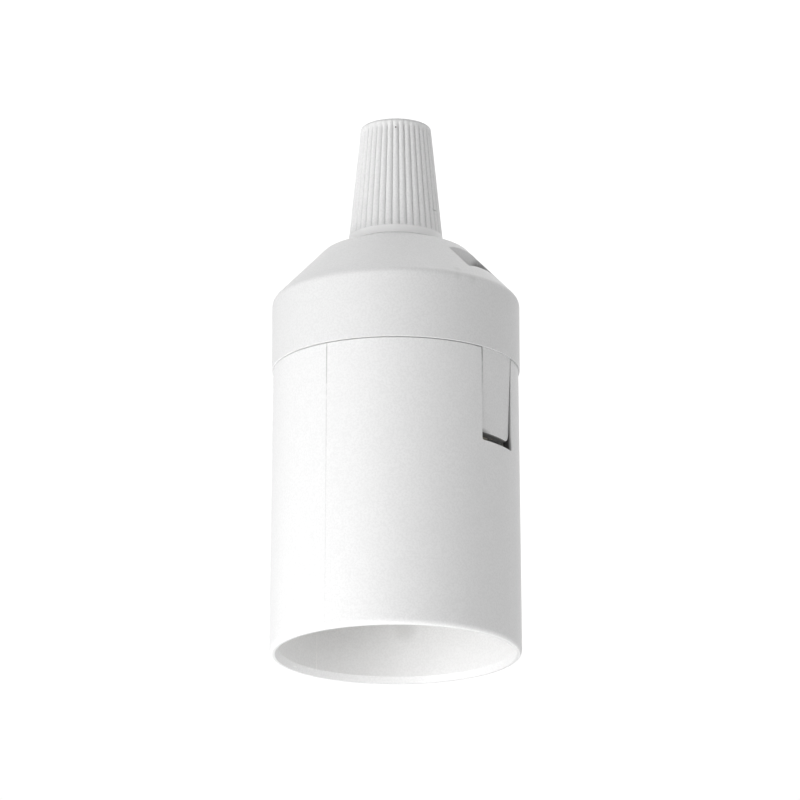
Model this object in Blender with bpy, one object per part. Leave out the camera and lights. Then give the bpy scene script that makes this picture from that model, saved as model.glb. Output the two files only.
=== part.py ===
# Lamp holder for a 27 mm round-thread bulb: smooth skirt, twist-locked cap, fluted cord grip.
# It stands on its mouth rim. +Z is up, the latch faces +X, lengths are in metres.

import math

import bmesh
import bpy
from mathutils import Matrix, Vector

for old in list(bpy.data.objects):
    bpy.data.objects.remove(old, do_unlink=True)

mm = 0.001

# Clearances
SEAT_GAP = 0.30 * mm        # between pieces that rest on each other
SIDE_GAP = 0.30 * mm        # between pieces that slide or turn beside each other

# Lamp thread: the size that everything round it follows
THREAD_PITCH = 3.629 * mm
THREAD_MAJOR_R = 13.28 * mm
THREAD_DEPTH = 1.08 * mm
INSERT_RIM = 2.62 * mm      # from the thread's major radius out to the insert's edge

# Skirt: the outer tube, widest at the mouth
SKIRT_HEIGHT = 46.90 * mm
SKIRT_FLARE = 0.36 * mm     # the mouth's radius over the top's
SKIRT_WALL = 1.42 * mm
LIP_HEIGHT = 2.40 * mm      # the slightly fuller band at the mouth
LIP_PROUD = 0.08 * mm
LIP_ROUND = 0.30 * mm
MOUTH_CHAMFER_WIDTH = 1.05 * mm
MOUTH_CHAMFER_HEIGHT = 0.95 * mm
TOP_EDGE_ROUND = 0.15 * mm

# Slot in the skirt, open at its top edge, and the latch in it
SLOT_WIDTH = 9.24 * mm
SLOT_DEPTH = 15.10 * mm
LATCH_END_GAP = 1.05 * mm   # between the latch's end and the slot's bottom edge
LATCH_THICK = 1.30 * mm
LATCH_FLUSH = 0.06 * mm     # how far the pad's top lies below the skirt's face
LATCH_LEAN = 0.85 * mm      # how far its free end leans inwards
LATCH_HEAD_HEIGHT = 2.40 * mm
LATCH_HEAD_DEPTH = 3.10 * mm
LATCH_STEP = 0.35 * mm      # the head is this much wider than the neck, each side
LATCH_CORNER = 0.80 * mm
PIVOT_BELOW_HEAD_TOP = 1.20 * mm
PIVOT_BEHIND_HEAD = 0.62 * mm

# Bayonet lugs inside the skirt's top
LUG_COUNT = 3
FIRST_LUG = math.radians(60.0)
LUG_ARC = math.radians(12.0)
LUG_HEIGHT = 2.40 * mm
LUG_REACH = 0.95 * mm
LUG_BELOW_TOP = 3.50 * mm
TWIST = math.radians(25.0)

# Cap: cylinder, cone and crown, with a spigot that the skirt slides over
RIM_PROUD = 0.23 * mm       # the cap's rim over the skirt's top
CAP_SIDE = 11.07 * mm       # from the rim to the corner of the cone
CONE_ANGLE = math.radians(45.7)
CROWN_ANGLE = math.radians(21.0)
CROWN_WIDTH = 3.21 * mm
CROWN_MARGIN = 0.85 * mm    # from the grip nut's base to the crown's inner edge
CAP_WALL = 1.70 * mm        # of the cone
CAP_SIDE_WALL = 2.00 * mm
SHOULDER_ROUND = 1.56 * mm
CROWN_ROUND = 1.90 * mm
RIM_ROUND = 0.20 * mm
SPIGOT_WALL = 1.85 * mm
SPIGOT_LENGTH = 8.40 * mm
LEDGE = 0.90 * mm           # inner ledge that the insert is pushed up against
LEDGE_HEIGHT = 1.40 * mm
BOSS_R = 8.60 * mm
BOSS_HEIGHT = 1.80 * mm
CROWN_THICK = 4.25 * mm

# Pocket in the cone over the latch
POCKET_EXTRA = 0.46 * mm    # wider than the slot by this much
POCKET_SETBACK = 3.10 * mm  # from the cap's side in to the pocket's outer face
POCKET_LENGTH = 4.10 * mm
POCKET_WALL = 1.30 * mm
POCKET_DEPTH = 4.60 * mm    # from its outer edge down to the ledges under the latch head

# Insert: the block that carries the contacts and terminals
INSERT_RING = 1.40 * mm
INSERT_BODY = 5.50 * mm
INSERT_RING_HEIGHT = 2.70 * mm
INSERT_FOOT = 4.80 * mm     # the narrower foot under the snap step
FOOT_STEP = 0.90 * mm
RECESS_LAND = 0.88 * mm     # between the recess and the shell rivets' heads
RECESS_DEPTH = 4.40 * mm
BARRIER_THICK = 1.60 * mm
BARRIER_HEIGHT = 3.90 * mm
BARB_REACH = 0.85 * mm
BARB_HEIGHT = 1.50 * mm
BARB_ABOVE_END = 0.50 * mm  # from the spigot's end up to the barbs
BARB_ARC = math.radians(20.0)
KEY_WIDTH = 2.40 * mm
KEY_REACH = 0.90 * mm
LATCH_ROOM = 2.35 * mm      # the latch's way in before it meets the insert's flat

# Thread shell, a rolled round thread
SHELL_THICK = 0.35 * mm
SHELL_TURNS = 5
SHELL_PLAIN = 0.90 * mm
SHELL_FLARE = 0.45 * mm
FLANGE_SETBACK = 0.50 * mm  # the flange stops this far short of the recess

# Contacts, terminals, rivets
STRIP_THICK = 0.50 * mm
STRIP_WIDTH = 4.00 * mm
STRIP_DROP = 2.20 * mm
STRIP_TIP_R = 1.90 * mm
PLATE_THICK = 1.00 * mm
PLATE_WIDTH = 7.00 * mm
PLATE_MARGIN = 2.40 * mm    # past the rivet and the screw
CLAMP_THICK = 1.00 * mm
CLAMP_SIZE = 6.20 * mm
WIRE_GROOVE_X = 1.92 * mm
WIRE_GROOVE_WIDTH = 0.60 * mm
SCREW_R = 1.60 * mm
SCREW_HEAD_R = 2.90 * mm
SCREW_HEAD_HEIGHT = 2.00 * mm
SCREW_SLOT = 0.80 * mm
SCREW_LENGTH = 6.40 * mm    # shank under the head
RIVET_R = 1.10 * mm
RIVET_HEAD_R = 1.90 * mm
RIVET_HEAD_HEIGHT = 0.60 * mm
HOLE_CLEARANCE = 0.30 * mm
STRIP_MARGIN = 0.80 * mm    # between the strip's rivet and the recess wall
SCREW_SPACING = 4.20 * mm   # from each terminal's rivet to its screw
SHELL_RIVET_ANGLES = {
    "shell_rivet_neutral": math.radians(270.0),
    "shell_rivet_left": math.radians(30.0),
    "shell_rivet_right": math.radians(150.0),
}

# Cord grip
STEM_R = 4.75 * mm
STEM_BORE_R = 3.30 * mm
STEM_COLLAR_R = 6.20 * mm
STEM_COLLAR_HEIGHT = 1.70 * mm
STEM_ABOVE = 9.50 * mm      # threaded length above the collar
STEM_TAIL = 0.80 * mm       # thread left under the locknut
LOCKNUT_FLATS = 14.00 * mm
LOCKNUT_HEIGHT = 3.00 * mm
NUT_HEIGHT = 20.20 * mm
NUT_BASE_R = 7.75 * mm
NUT_TOP_R = 5.71 * mm
NUT_TOP_ROUND = 0.85 * mm
NUT_BAND = 1.35 * mm        # smooth band under the flutes
FLUTE_COUNT = 39
FLUTE_DEPTH = 0.34 * mm
FLUTE_SHARE = 0.40          # groove's share of one flute
FLUTE_TURN = math.radians(-3.615)
CLAMP_CONE_HEIGHT = 3.80 * mm
CLAMP_CONE_TOP_R = 3.95 * mm
CLAMP_BORE_R = 3.20 * mm
CLAMP_SLIT = 0.90 * mm
CORD_HOLE_R = 3.50 * mm

# Facets
ROUND_STEPS = 52
SMALL_STEPS = 28
RIVET_STEPS = 12
ARC_STEPS = 3
SHELL_STEPS = 28
SHELL_ROWS_A_TURN = 5
SHARP = math.radians(35.0)


# Radii, from the lamp thread outwards
INSERT_R = THREAD_MAJOR_R + INSERT_RIM
SPIGOT_INNER_R = INSERT_R + SIDE_GAP
SPIGOT_OUTER_R = SPIGOT_INNER_R + SPIGOT_WALL
SKIRT_INNER_R = SPIGOT_OUTER_R + SIDE_GAP
SKIRT_TOP_R = SKIRT_INNER_R + SKIRT_WALL
SKIRT_MOUTH_R = SKIRT_TOP_R + SKIRT_FLARE
CAP_R = SKIRT_TOP_R + RIM_PROUD
CROWN_R = NUT_BASE_R + CROWN_MARGIN
CONE_TOP_R = CROWN_R + CROWN_WIDTH


# Places that follow from the sizes above
def skirt_outer(z):
    return SKIRT_MOUTH_R - SKIRT_FLARE * z / SKIRT_HEIGHT


SLOT_BOTTOM_Z = SKIRT_HEIGHT - SLOT_DEPTH
LUG_TOP_Z = SKIRT_HEIGHT - LUG_BELOW_TOP
LUG_BOTTOM_Z = LUG_TOP_Z - LUG_HEIGHT
LUG_INNER_R = SKIRT_INNER_R - LUG_REACH

CAP_RIM_Z = SKIRT_HEIGHT + SEAT_GAP
CORNER_Z = CAP_RIM_Z + CAP_SIDE
CONE_TOP_Z = CORNER_Z + (CAP_R - CONE_TOP_R) * math.tan(CONE_ANGLE)
CAP_TOP_Z = CONE_TOP_Z + (CONE_TOP_R - CROWN_R) * math.tan(CROWN_ANGLE)
SPIGOT_BOTTOM_Z = SKIRT_HEIGHT - SPIGOT_LENGTH
RIM_INNER_R = CAP_R - CAP_SIDE_WALL
WINDOW_R = SKIRT_INNER_R
BOSS_Z = CAP_TOP_Z - CROWN_THICK

INSERT_STEP_Z = SPIGOT_BOTTOM_Z + BARB_ABOVE_END + BARB_HEIGHT + SEAT_GAP
INSERT_FLOOR_Z = INSERT_STEP_Z + INSERT_BODY
INSERT_TOP_Z = INSERT_FLOOR_Z + INSERT_RING_HEIGHT
INSERT_BOTTOM_Z = INSERT_STEP_Z - INSERT_FOOT
RECESS_Z = INSERT_BOTTOM_Z + RECESS_DEPTH
FOOT_R = INSERT_R - FOOT_STEP
LEDGE_Z = INSERT_TOP_Z + SEAT_GAP

POCKET_WIDTH = SLOT_WIDTH + POCKET_EXTRA
POCKET_OUTER_X = CAP_R - POCKET_SETBACK
POCKET_INNER_X = POCKET_OUTER_X - POCKET_LENGTH
POCKET_EDGE_Z = CORNER_Z + (CAP_R - POCKET_OUTER_X) * math.tan(CONE_ANGLE)
POCKET_FLOOR_Z = POCKET_EDGE_Z - POCKET_DEPTH
POCKET_BOTTOM_Z = POCKET_FLOOR_Z - POCKET_WALL
LATCH_HEAD_Z = POCKET_FLOOR_Z + SEAT_GAP
LATCH_TOP_Z = LATCH_HEAD_Z + LATCH_HEAD_HEIGHT
LATCH_OUTER_X = POCKET_OUTER_X - SIDE_GAP
LATCH_STEM_R = WINDOW_R - SIDE_GAP
LATCH_PAD_R = SKIRT_TOP_R - LATCH_FLUSH
LATCH_END_Z = SLOT_BOTTOM_Z + LATCH_END_GAP
LATCH_HALF = SLOT_WIDTH / 2 - SIDE_GAP
LATCH_HEAD_HALF = POCKET_WIDTH / 2 - SIDE_GAP
LATCH_NECK_Z = POCKET_BOTTOM_Z - SEAT_GAP
LATCH_ROOM_X = LATCH_STEM_R - LATCH_THICK - LATCH_ROOM
PIVOT = Vector((LATCH_OUTER_X - PIVOT_BEHIND_HEAD, 0.0, LATCH_TOP_Z - PIVOT_BELOW_HEAD_TOP))

SHELL_TOP_Z = INSERT_BOTTOM_Z - SEAT_GAP
SHELL_RIVET_R = THREAD_MAJOR_R - RIVET_HEAD_R - SIDE_GAP
RECESS_R = SHELL_RIVET_R - RIVET_HEAD_R - RECESS_LAND
SHELL_FLANGE_R = RECESS_R + FLANGE_SETBACK
LIVE_RIVET_Y = RECESS_R - RIVET_HEAD_R - STRIP_MARGIN
LIVE_SCREW_Y = LIVE_RIVET_Y + SCREW_SPACING
NEUTRAL_RIVET_Y = -SHELL_RIVET_R
NEUTRAL_SCREW_Y = NEUTRAL_RIVET_Y + SCREW_SPACING
SHELL_BOTTOM_Z = SHELL_TOP_Z - SHELL_THICK - 2 * SHELL_PLAIN - SHELL_TURNS * THREAD_PITCH

PLATE_Z = INSERT_FLOOR_Z + SEAT_GAP
CLAMP_Z = PLATE_Z + PLATE_THICK + SEAT_GAP
HEAD_Z = CLAMP_Z + CLAMP_THICK + SEAT_GAP
RIVET_TOP_Z = PLATE_Z + PLATE_THICK + SEAT_GAP
STRIP_TOP_Z = RECESS_Z - SEAT_GAP

COLLAR_Z = CAP_TOP_Z + SEAT_GAP
STEM_TOP_Z = COLLAR_Z + STEM_COLLAR_HEIGHT + STEM_ABOVE
LOCKNUT_TOP_Z = BOSS_Z - SEAT_GAP
STEM_BOTTOM_Z = LOCKNUT_TOP_Z - LOCKNUT_HEIGHT - STEM_TAIL
NUT_TOP_Z = COLLAR_Z + NUT_HEIGHT
CLAMP_CONE_Z = STEM_TOP_Z + SEAT_GAP
CLAMP_CONE_TOP_Z = CLAMP_CONE_Z + CLAMP_CONE_HEIGHT


# Materials
def finish(name, colour, roughness, metallic=0.0):
    material = bpy.data.materials.new(name)
    material.use_nodes = True
    surface = material.node_tree.nodes["Principled BSDF"]
    surface.inputs["Base Color"].default_value = (*colour, 1.0)
    surface.inputs["Roughness"].default_value = roughness
    surface.inputs["Metallic"].default_value = metallic
    return material


WHITE = finish("white_plastic", (0.86, 0.86, 0.85), 0.45)
NATURAL = finish("natural_nylon", (0.80, 0.79, 0.74), 0.55)
THERMOSET = finish("cream_thermoset", (0.82, 0.80, 0.74), 0.40)
BRASS = finish("brass", (0.72, 0.55, 0.25), 0.35, 1.0)
NICKEL = finish("nickel_plate", (0.70, 0.68, 0.62), 0.30, 1.0)
BRONZE = finish("spring_bronze", (0.68, 0.42, 0.22), 0.35, 1.0)


# Shape helpers
def polar(radius, angle):
    return radius * math.cos(angle), radius * math.sin(angle)


def arc_corner(before, corner, after, radius, steps=ARC_STEPS):
    """Points of a round corner between two straight stretches of an outline."""
    p0, p1, p2 = Vector(before), Vector(corner), Vector(after)
    u, v = (p0 - p1).normalized(), (p2 - p1).normalized()
    half = u.angle(v) / 2
    reach = min(radius / math.tan(half), 0.45 * (p0 - p1).length, 0.45 * (p2 - p1).length)
    true_radius = reach * math.tan(half)
    centre = p1 + (u + v).normalized() * (true_radius / math.sin(half))
    a, b = p1 + u * reach - centre, p1 + v * reach - centre
    turn = a.angle_signed(b)
    points = []
    for k in range(steps + 1):
        arm = a.copy()
        arm.rotate(Matrix.Rotation(-turn * k / steps, 2))
        points.append(tuple(centre + arm))
    return points


def rounded(outline):
    """An outline whose corners may carry a radius: (r, z) stays sharp, (r, z, radius) is rounded."""
    points = []
    count = len(outline)
    for k, corner in enumerate(outline):
        if len(corner) == 2:
            points.append(corner)
            continue
        points += arc_corner(outline[k - 1][:2], corner[:2], outline[(k + 1) % count][:2], corner[2])
    return points


def solid(name, bm, material, flat=False):
    bmesh.ops.recalc_face_normals(bm, faces=bm.faces)
    mesh = bpy.data.meshes.new(name)
    bm.to_mesh(mesh)
    bm.free()
    if not flat:
        mesh.shade_smooth()
        mesh.set_sharp_from_angle(angle=SHARP)
    piece = bpy.data.objects.new(name, mesh)
    bpy.context.collection.objects.link(piece)
    mesh.materials.append(material)
    return piece


def turned(name, outline, material, steps=ROUND_STEPS, centre=(0.0, 0.0), turn=0.0):
    """A solid of revolution about Z. The outline closes on itself, or starts and ends on the axis."""
    bm = bmesh.new()
    rings = []
    for radius, z in rounded(outline):
        if radius < 1e-7:
            rings.append([bm.verts.new((centre[0], centre[1], z))])
            continue
        ring = []
        for k in range(steps):
            x, y = polar(radius, turn + 2 * math.pi * k / steps)
            ring.append(bm.verts.new((centre[0] + x, centre[1] + y, z)))
        rings.append(ring)
    open_ended = len(rings[0]) == 1
    pairs = list(zip(rings, rings[1:] + rings[:1]))
    if open_ended:
        pairs = pairs[:-1]
    for low, high in pairs:
        for k in range(steps):
            n = (k + 1) % steps
            if len(low) == 1:
                bm.faces.new((low[0], high[k], high[n]))
            elif len(high) == 1:
                bm.faces.new((low[k], low[n], high[0]))
            else:
                bm.faces.new((low[k], low[n], high[n], high[k]))
    return solid(name, bm, material)


def sector(name, outline, start, end, material, steps=8):
    """The same, through part of a turn, with flat ends."""
    bm = bmesh.new()
    points = rounded(outline)
    rows = []
    for k in range(steps + 1):
        angle = start + (end - start) * k / steps
        rows.append([bm.verts.new((*polar(r, angle), z)) for r, z in points])
    count = len(points)
    for near, far in zip(rows, rows[1:]):
        for k in range(count):
            n = (k + 1) % count
            bm.faces.new((near[k], near[n], far[n], far[k]))
    bm.faces.new(rows[0])
    bm.faces.new(list(reversed(rows[-1])))
    return solid(name, bm, material)


def band(inner_r, outer_r, low, high):
    return [(inner_r, low), (outer_r, low), (outer_r, high), (inner_r, high)]


def block(name, low, high, material):
    bm = bmesh.new()
    bmesh.ops.create_cube(bm, size=1.0)
    for v in bm.verts:
        for axis in range(3):
            v.co[axis] = low[axis] + (v.co[axis] + 0.5) * (high[axis] - low[axis])
    return solid(name, bm, material, flat=True)


def prism(name, outline, place, reach, material):
    """A flat outline, set in space by place(), and drawn out by the vector reach."""
    bm = bmesh.new()
    near = [bm.verts.new(place(*point)) for point in rounded(outline)]
    moved = bmesh.ops.extrude_face_region(bm, geom=[bm.faces.new(near)])
    far = [v for v in moved["geom"] if isinstance(v, bmesh.types.BMVert)]
    bmesh.ops.translate(bm, verts=far, vec=reach)
    return solid(name, bm, material, flat=True)


def prism_x(name, outline, low, high, material):
    """A (y, z) outline drawn out along X."""
    return prism(name, outline, lambda y, z: (low, y, z), (high - low, 0.0, 0.0), material)


def prism_y(name, outline, half_width, material):
    """An (x, z) outline drawn out along Y, to both sides of the middle."""
    return prism(name, outline, lambda x, z: (x, -half_width, z), (0.0, 2 * half_width, 0.0), material)


def combine(piece, tool, operation):
    """One Boolean step, applied at once. The tool is used up."""
    step = piece.modifiers.new(operation.lower(), "BOOLEAN")
    step.object = tool
    step.operation = operation
    step.solver = "EXACT"
    seen = piece.evaluated_get(bpy.context.evaluated_depsgraph_get())
    mesh = bpy.data.meshes.new_from_object(seen)
    piece.modifiers.clear()
    old = piece.data
    piece.data = mesh
    mesh.name = piece.name
    bpy.data.meshes.remove(old)
    bpy.data.objects.remove(tool, do_unlink=True)
    return piece


def cut(piece, tool):
    return combine(piece, tool, "DIFFERENCE")


def join(piece, tool):
    return combine(piece, tool, "UNION")


def drill(piece, x, y, radius, low, high, steps=RIVET_STEPS):
    outline = [(0.0, low), (radius, low), (radius, high), (0.0, high)]
    return cut(piece, turned("drill", outline, WHITE, steps, (x, y), math.pi / steps))


def move_origin(piece, point):
    piece.data.transform(Matrix.Translation(-Vector(point)))
    piece.location = point
    return piece


# Skirt
def make_skirt():
    lip_r = SKIRT_MOUTH_R + LIP_PROUD
    mouth_inner = SKIRT_MOUTH_R - SKIRT_WALL - LIP_PROUD
    skirt = turned("skirt", [
        (mouth_inner + MOUTH_CHAMFER_WIDTH, 0.0),
        (lip_r, 0.0, LIP_ROUND),
        (lip_r, LIP_HEIGHT * 0.6),
        (skirt_outer(LIP_HEIGHT), LIP_HEIGHT),
        (SKIRT_TOP_R, SKIRT_HEIGHT, TOP_EDGE_ROUND),
        (SKIRT_INNER_R, SKIRT_HEIGHT),
        (SKIRT_INNER_R, SLOT_BOTTOM_Z),
        (mouth_inner, MOUTH_CHAMFER_HEIGHT),
    ], WHITE)
    for k in range(LUG_COUNT):
        middle = FIRST_LUG + k * 2 * math.pi / LUG_COUNT
        outline = band(LUG_INNER_R, SKIRT_INNER_R + SKIRT_WALL / 2, LUG_BOTTOM_Z, LUG_TOP_Z)
        join(skirt, sector("lug", outline, middle - LUG_ARC / 2, middle + LUG_ARC / 2, WHITE, 4))
    slot = block("slot", (SPIGOT_INNER_R, -SLOT_WIDTH / 2, SLOT_BOTTOM_Z),
                 (CAP_R + SKIRT_WALL, SLOT_WIDTH / 2, CAP_RIM_Z + SKIRT_WALL), WHITE)
    return cut(skirt, slot)


# Cap
def make_cap():
    cone_slope = math.tan(CONE_ANGLE)
    wall_across = CAP_WALL / math.sin(CONE_ANGLE)
    stem_hole_r = STEM_R + SIDE_GAP
    cone_foot_z = CORNER_Z - (wall_across - CAP_SIDE_WALL) * cone_slope
    roof_z = BOSS_Z + BOSS_HEIGHT
    roof_r = CAP_R - wall_across - (roof_z - CORNER_Z) / cone_slope
    ledge_r = SPIGOT_INNER_R - LEDGE
    ledge_top = LEDGE_Z + LEDGE_HEIGHT
    cap = turned("cap", [
        (SPIGOT_INNER_R, SPIGOT_BOTTOM_Z),
        (SPIGOT_OUTER_R, SPIGOT_BOTTOM_Z, RIM_ROUND),
        (SPIGOT_OUTER_R, CAP_RIM_Z),
        (CAP_R, CAP_RIM_Z, RIM_ROUND),
        (CAP_R, CORNER_Z, SHOULDER_ROUND),
        (CONE_TOP_R, CONE_TOP_Z, CROWN_ROUND),
        (CROWN_R, CAP_TOP_Z),
        (stem_hole_r, CAP_TOP_Z),
        (stem_hole_r, BOSS_Z),
        (BOSS_R, BOSS_Z),
        (BOSS_R, roof_z),
        (roof_r, roof_z),
        (RIM_INNER_R, cone_foot_z),
        (RIM_INNER_R, ledge_top + RIM_INNER_R - ledge_r),
        (ledge_r, ledge_top),
        (ledge_r, LEDGE_Z),
        (SPIGOT_INNER_R, LEDGE_Z),
    ], WHITE)

    # walls round the latch pocket, kept just under the cone's outer face
    wall_half = POCKET_WIDTH / 2 + POCKET_WALL
    inner_x = POCKET_INNER_X - POCKET_WALL
    outer_x = RIM_INNER_R + CAP_WALL / 4

    def cone_at(x):
        return CORNER_Z + (CAP_R - math.hypot(x, wall_half)) * cone_slope - CAP_WALL / 3

    walls = prism_y("walls", [
        (inner_x, POCKET_BOTTOM_Z),
        (outer_x, POCKET_BOTTOM_Z),
        (outer_x, min(cone_at(outer_x), CORNER_Z)),
        (inner_x, cone_at(inner_x)),
    ], wall_half, WHITE)
    join(cap, walls)

    # key rib for the insert, and two snap barbs under its step
    key = block("key", (-SPIGOT_INNER_R - SPIGOT_WALL / 3, -KEY_WIDTH / 2, INSERT_STEP_Z + SEAT_GAP),
                (-SPIGOT_INNER_R + KEY_REACH, KEY_WIDTH / 2, LEDGE_Z + LEDGE_HEIGHT / 3), WHITE)
    join(cap, key)
    barb_top = INSERT_STEP_Z - SEAT_GAP
    for side in (math.pi / 2, -math.pi / 2):
        outline = [
            (SPIGOT_INNER_R + SPIGOT_WALL / 3, barb_top - BARB_HEIGHT),
            (SPIGOT_INNER_R + SPIGOT_WALL / 3, barb_top),
            (SPIGOT_INNER_R - BARB_REACH, barb_top),
            (SPIGOT_INNER_R - BARB_REACH, barb_top - BARB_HEIGHT / 3),
        ]
        join(cap, sector("barb", outline, side - BARB_ARC / 2, side + BARB_ARC / 2, WHITE, 6))

    # pocket for the latch head, the narrower throat under it, and the window below
    pocket_half = POCKET_WIDTH / 2
    throat_half = pocket_half - LATCH_STEP
    pocket_high = CONE_TOP_Z + BOSS_HEIGHT
    throat_low = POCKET_BOTTOM_Z - POCKET_WALL
    tee = [
        (-throat_half, throat_low), (throat_half, throat_low),
        (throat_half, POCKET_FLOOR_Z), (pocket_half, POCKET_FLOOR_Z),
        (pocket_half, pocket_high), (-pocket_half, pocket_high),
        (-pocket_half, POCKET_FLOOR_Z), (-throat_half, POCKET_FLOOR_Z),
    ]
    cut(cap, prism_x("pocket", tee, POCKET_INNER_X, POCKET_OUTER_X, WHITE))
    window_arc = 2 * math.asin((SLOT_WIDTH / 2 + SIDE_GAP) / WINDOW_R)
    window = sector("window", band(LATCH_ROOM_X - SIDE_GAP, WINDOW_R, SPIGOT_BOTTOM_Z - SPIGOT_WALL,
                                   LATCH_NECK_Z), -window_arc / 2, window_arc / 2, WHITE, 6)
    cut(cap, window)
    for k in range(LUG_COUNT):
        cut(cap, track(FIRST_LUG + k * 2 * math.pi / LUG_COUNT))
    return cap


def track(locked):
    """The space one lug needs: up an entry from the spigot's end, then round to its locked place."""
    slack = SIDE_GAP / SPIGOT_OUTER_R
    half = LUG_ARC / 2 + slack
    start, turn_in, end = locked - TWIST - half, locked - TWIST + half, locked + half
    entry_steps, run_steps = 3, 5
    angles = [start + (turn_in - start) * k / entry_steps for k in range(entry_steps)]
    angles += [turn_in + (end - turn_in) * k / run_steps for k in range(run_steps + 1)]
    levels = [SPIGOT_BOTTOM_Z - SPIGOT_WALL, LUG_BOTTOM_Z - SEAT_GAP, LUG_TOP_Z + SEAT_GAP]
    radii = (LUG_INNER_R - SIDE_GAP, SKIRT_INNER_R + SIDE_GAP)
    bm = bmesh.new()
    grid = {}
    for i, angle in enumerate(angles):
        for j, z in enumerate(levels):
            if j == 0 and i > entry_steps:
                continue
            grid[i, j] = [bm.verts.new((*polar(r, angle), z)) for r in radii]

    def wall(a, b):
        bm.faces.new((grid[a][0], grid[b][0], grid[b][1], grid[a][1]))

    last = len(angles) - 1
    for i in range(last):
        for j in (0, 1):
            if j == 0 and i >= entry_steps:
                continue
            for side in (0, 1):
                corners = [(i, j), (i + 1, j), (i + 1, j + 1), (i, j + 1)]
                bm.faces.new([grid[c][side] for c in corners])
        wall((i, 2), (i + 1, 2))
        floor = 0 if i < entry_steps else 1
        wall((i, floor), (i + 1, floor))
    wall((0, 0), (0, 1))
    wall((0, 1), (0, 2))
    wall((entry_steps, 0), (entry_steps, 1))
    wall((last, 1), (last, 2))
    return solid("track", bm, WHITE)


# Latch: its head hangs in the cap's pocket, its pad fills the skirt's slot
def make_latch():
    stem_in = LATCH_STEM_R - LATCH_THICK
    pad_top = CAP_RIM_Z - SEAT_GAP
    end_r = LATCH_PAD_R - LATCH_LEAN
    reach = 1.2 * math.asin(LATCH_HALF / stem_in)
    latch = sector("latch_leaf", [
        (end_r - LATCH_THICK, LATCH_END_Z),
        (end_r, LATCH_END_Z),
        (LATCH_PAD_R, pad_top),
        (LATCH_STEM_R, pad_top),
        (LATCH_STEM_R, LATCH_NECK_Z - LATCH_THICK),
        (LATCH_OUTER_X, LATCH_NECK_Z),
        (LATCH_OUTER_X - LATCH_THICK, LATCH_NECK_Z),
        (stem_in, LATCH_NECK_Z - 1.5 * LATCH_THICK),
        (stem_in, pad_top + LATCH_THICK / 2),
        (LATCH_PAD_R - LATCH_THICK, pad_top - LATCH_THICK / 2),
    ], -reach, reach, WHITE, 16)
    sides = prism_x("sides", [
        (-LATCH_HALF, LATCH_END_Z - SEAT_GAP, LATCH_CORNER),
        (-LATCH_HALF, LATCH_TOP_Z),
        (LATCH_HALF, LATCH_TOP_Z),
        (LATCH_HALF, LATCH_END_Z - SEAT_GAP, LATCH_CORNER),
    ], POCKET_INNER_X, CAP_R + CAP_WALL, WHITE)
    combine(latch, sides, "INTERSECT")
    inner_x = LATCH_OUTER_X - LATCH_HEAD_DEPTH
    neck_half = LATCH_HEAD_HALF - LATCH_STEP
    inset = LATCH_THICK / 8
    neck = block("neck", (inner_x + inset, -neck_half, LATCH_NECK_Z - LATCH_THICK),
                 (LATCH_OUTER_X - inset, neck_half, LATCH_TOP_Z - LATCH_HEAD_HEIGHT / 2), WHITE)
    join(latch, neck)
    head = block("head", (inner_x, -LATCH_HEAD_HALF, LATCH_HEAD_Z),
                 (LATCH_OUTER_X, LATCH_HEAD_HALF, LATCH_TOP_Z), WHITE)
    join(latch, head)
    return move_origin(latch, PIVOT)


# Insert
def make_insert():
    insert = turned("insert", [
        (0.0, RECESS_Z),
        (RECESS_R, RECESS_Z),
        (RECESS_R, INSERT_BOTTOM_Z),
        (FOOT_R, INSERT_BOTTOM_Z, RIM_ROUND),
        (FOOT_R, INSERT_STEP_Z),
        (INSERT_R, INSERT_STEP_Z),
        (INSERT_R, INSERT_TOP_Z),
        (INSERT_R - INSERT_RING, INSERT_TOP_Z),
        (INSERT_R - INSERT_RING, INSERT_FLOOR_Z),
        (0.0, INSERT_FLOOR_Z),
    ], THERMOSET)
    barrier_half = FOOT_R
    barrier = block("barrier", (-barrier_half, -BARRIER_THICK / 2, INSERT_FLOOR_Z - PLATE_THICK / 2),
                    (barrier_half, BARRIER_THICK / 2, INSERT_FLOOR_Z + BARRIER_HEIGHT), THERMOSET)
    join(insert, barrier)
    room_half = SLOT_WIDTH / 2 + 3 * SIDE_GAP
    room = block("room", (LATCH_ROOM_X, -room_half, INSERT_BOTTOM_Z - SEAT_GAP),
                 (CAP_R, room_half, INSERT_FLOOR_Z + BARRIER_HEIGHT + SEAT_GAP), THERMOSET)
    cut(insert, room)
    key_way = block("key_way", (-CAP_R, -KEY_WIDTH / 2 - SIDE_GAP, INSERT_BOTTOM_Z - SEAT_GAP),
                    (-SPIGOT_INNER_R + KEY_REACH + SIDE_GAP, KEY_WIDTH / 2 + SIDE_GAP,
                     INSERT_TOP_Z + SEAT_GAP), THERMOSET)
    cut(insert, key_way)
    screw_low = HEAD_Z - SCREW_LENGTH - 2 * SEAT_GAP
    for y in (LIVE_SCREW_Y, NEUTRAL_SCREW_Y):
        drill(insert, 0.0, y, SCREW_R + HOLE_CLEARANCE, screw_low, INSERT_TOP_Z)
    drill(insert, 0.0, LIVE_RIVET_Y, RIVET_R + HOLE_CLEARANCE, INSERT_BOTTOM_Z, INSERT_TOP_Z)
    for angle in SHELL_RIVET_ANGLES.values():
        x, y = polar(SHELL_RIVET_R, angle)
        drill(insert, x, y, RIVET_R + HOLE_CLEARANCE, INSERT_BOTTOM_Z - SEAT_GAP, INSERT_TOP_Z)
    return insert


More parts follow.
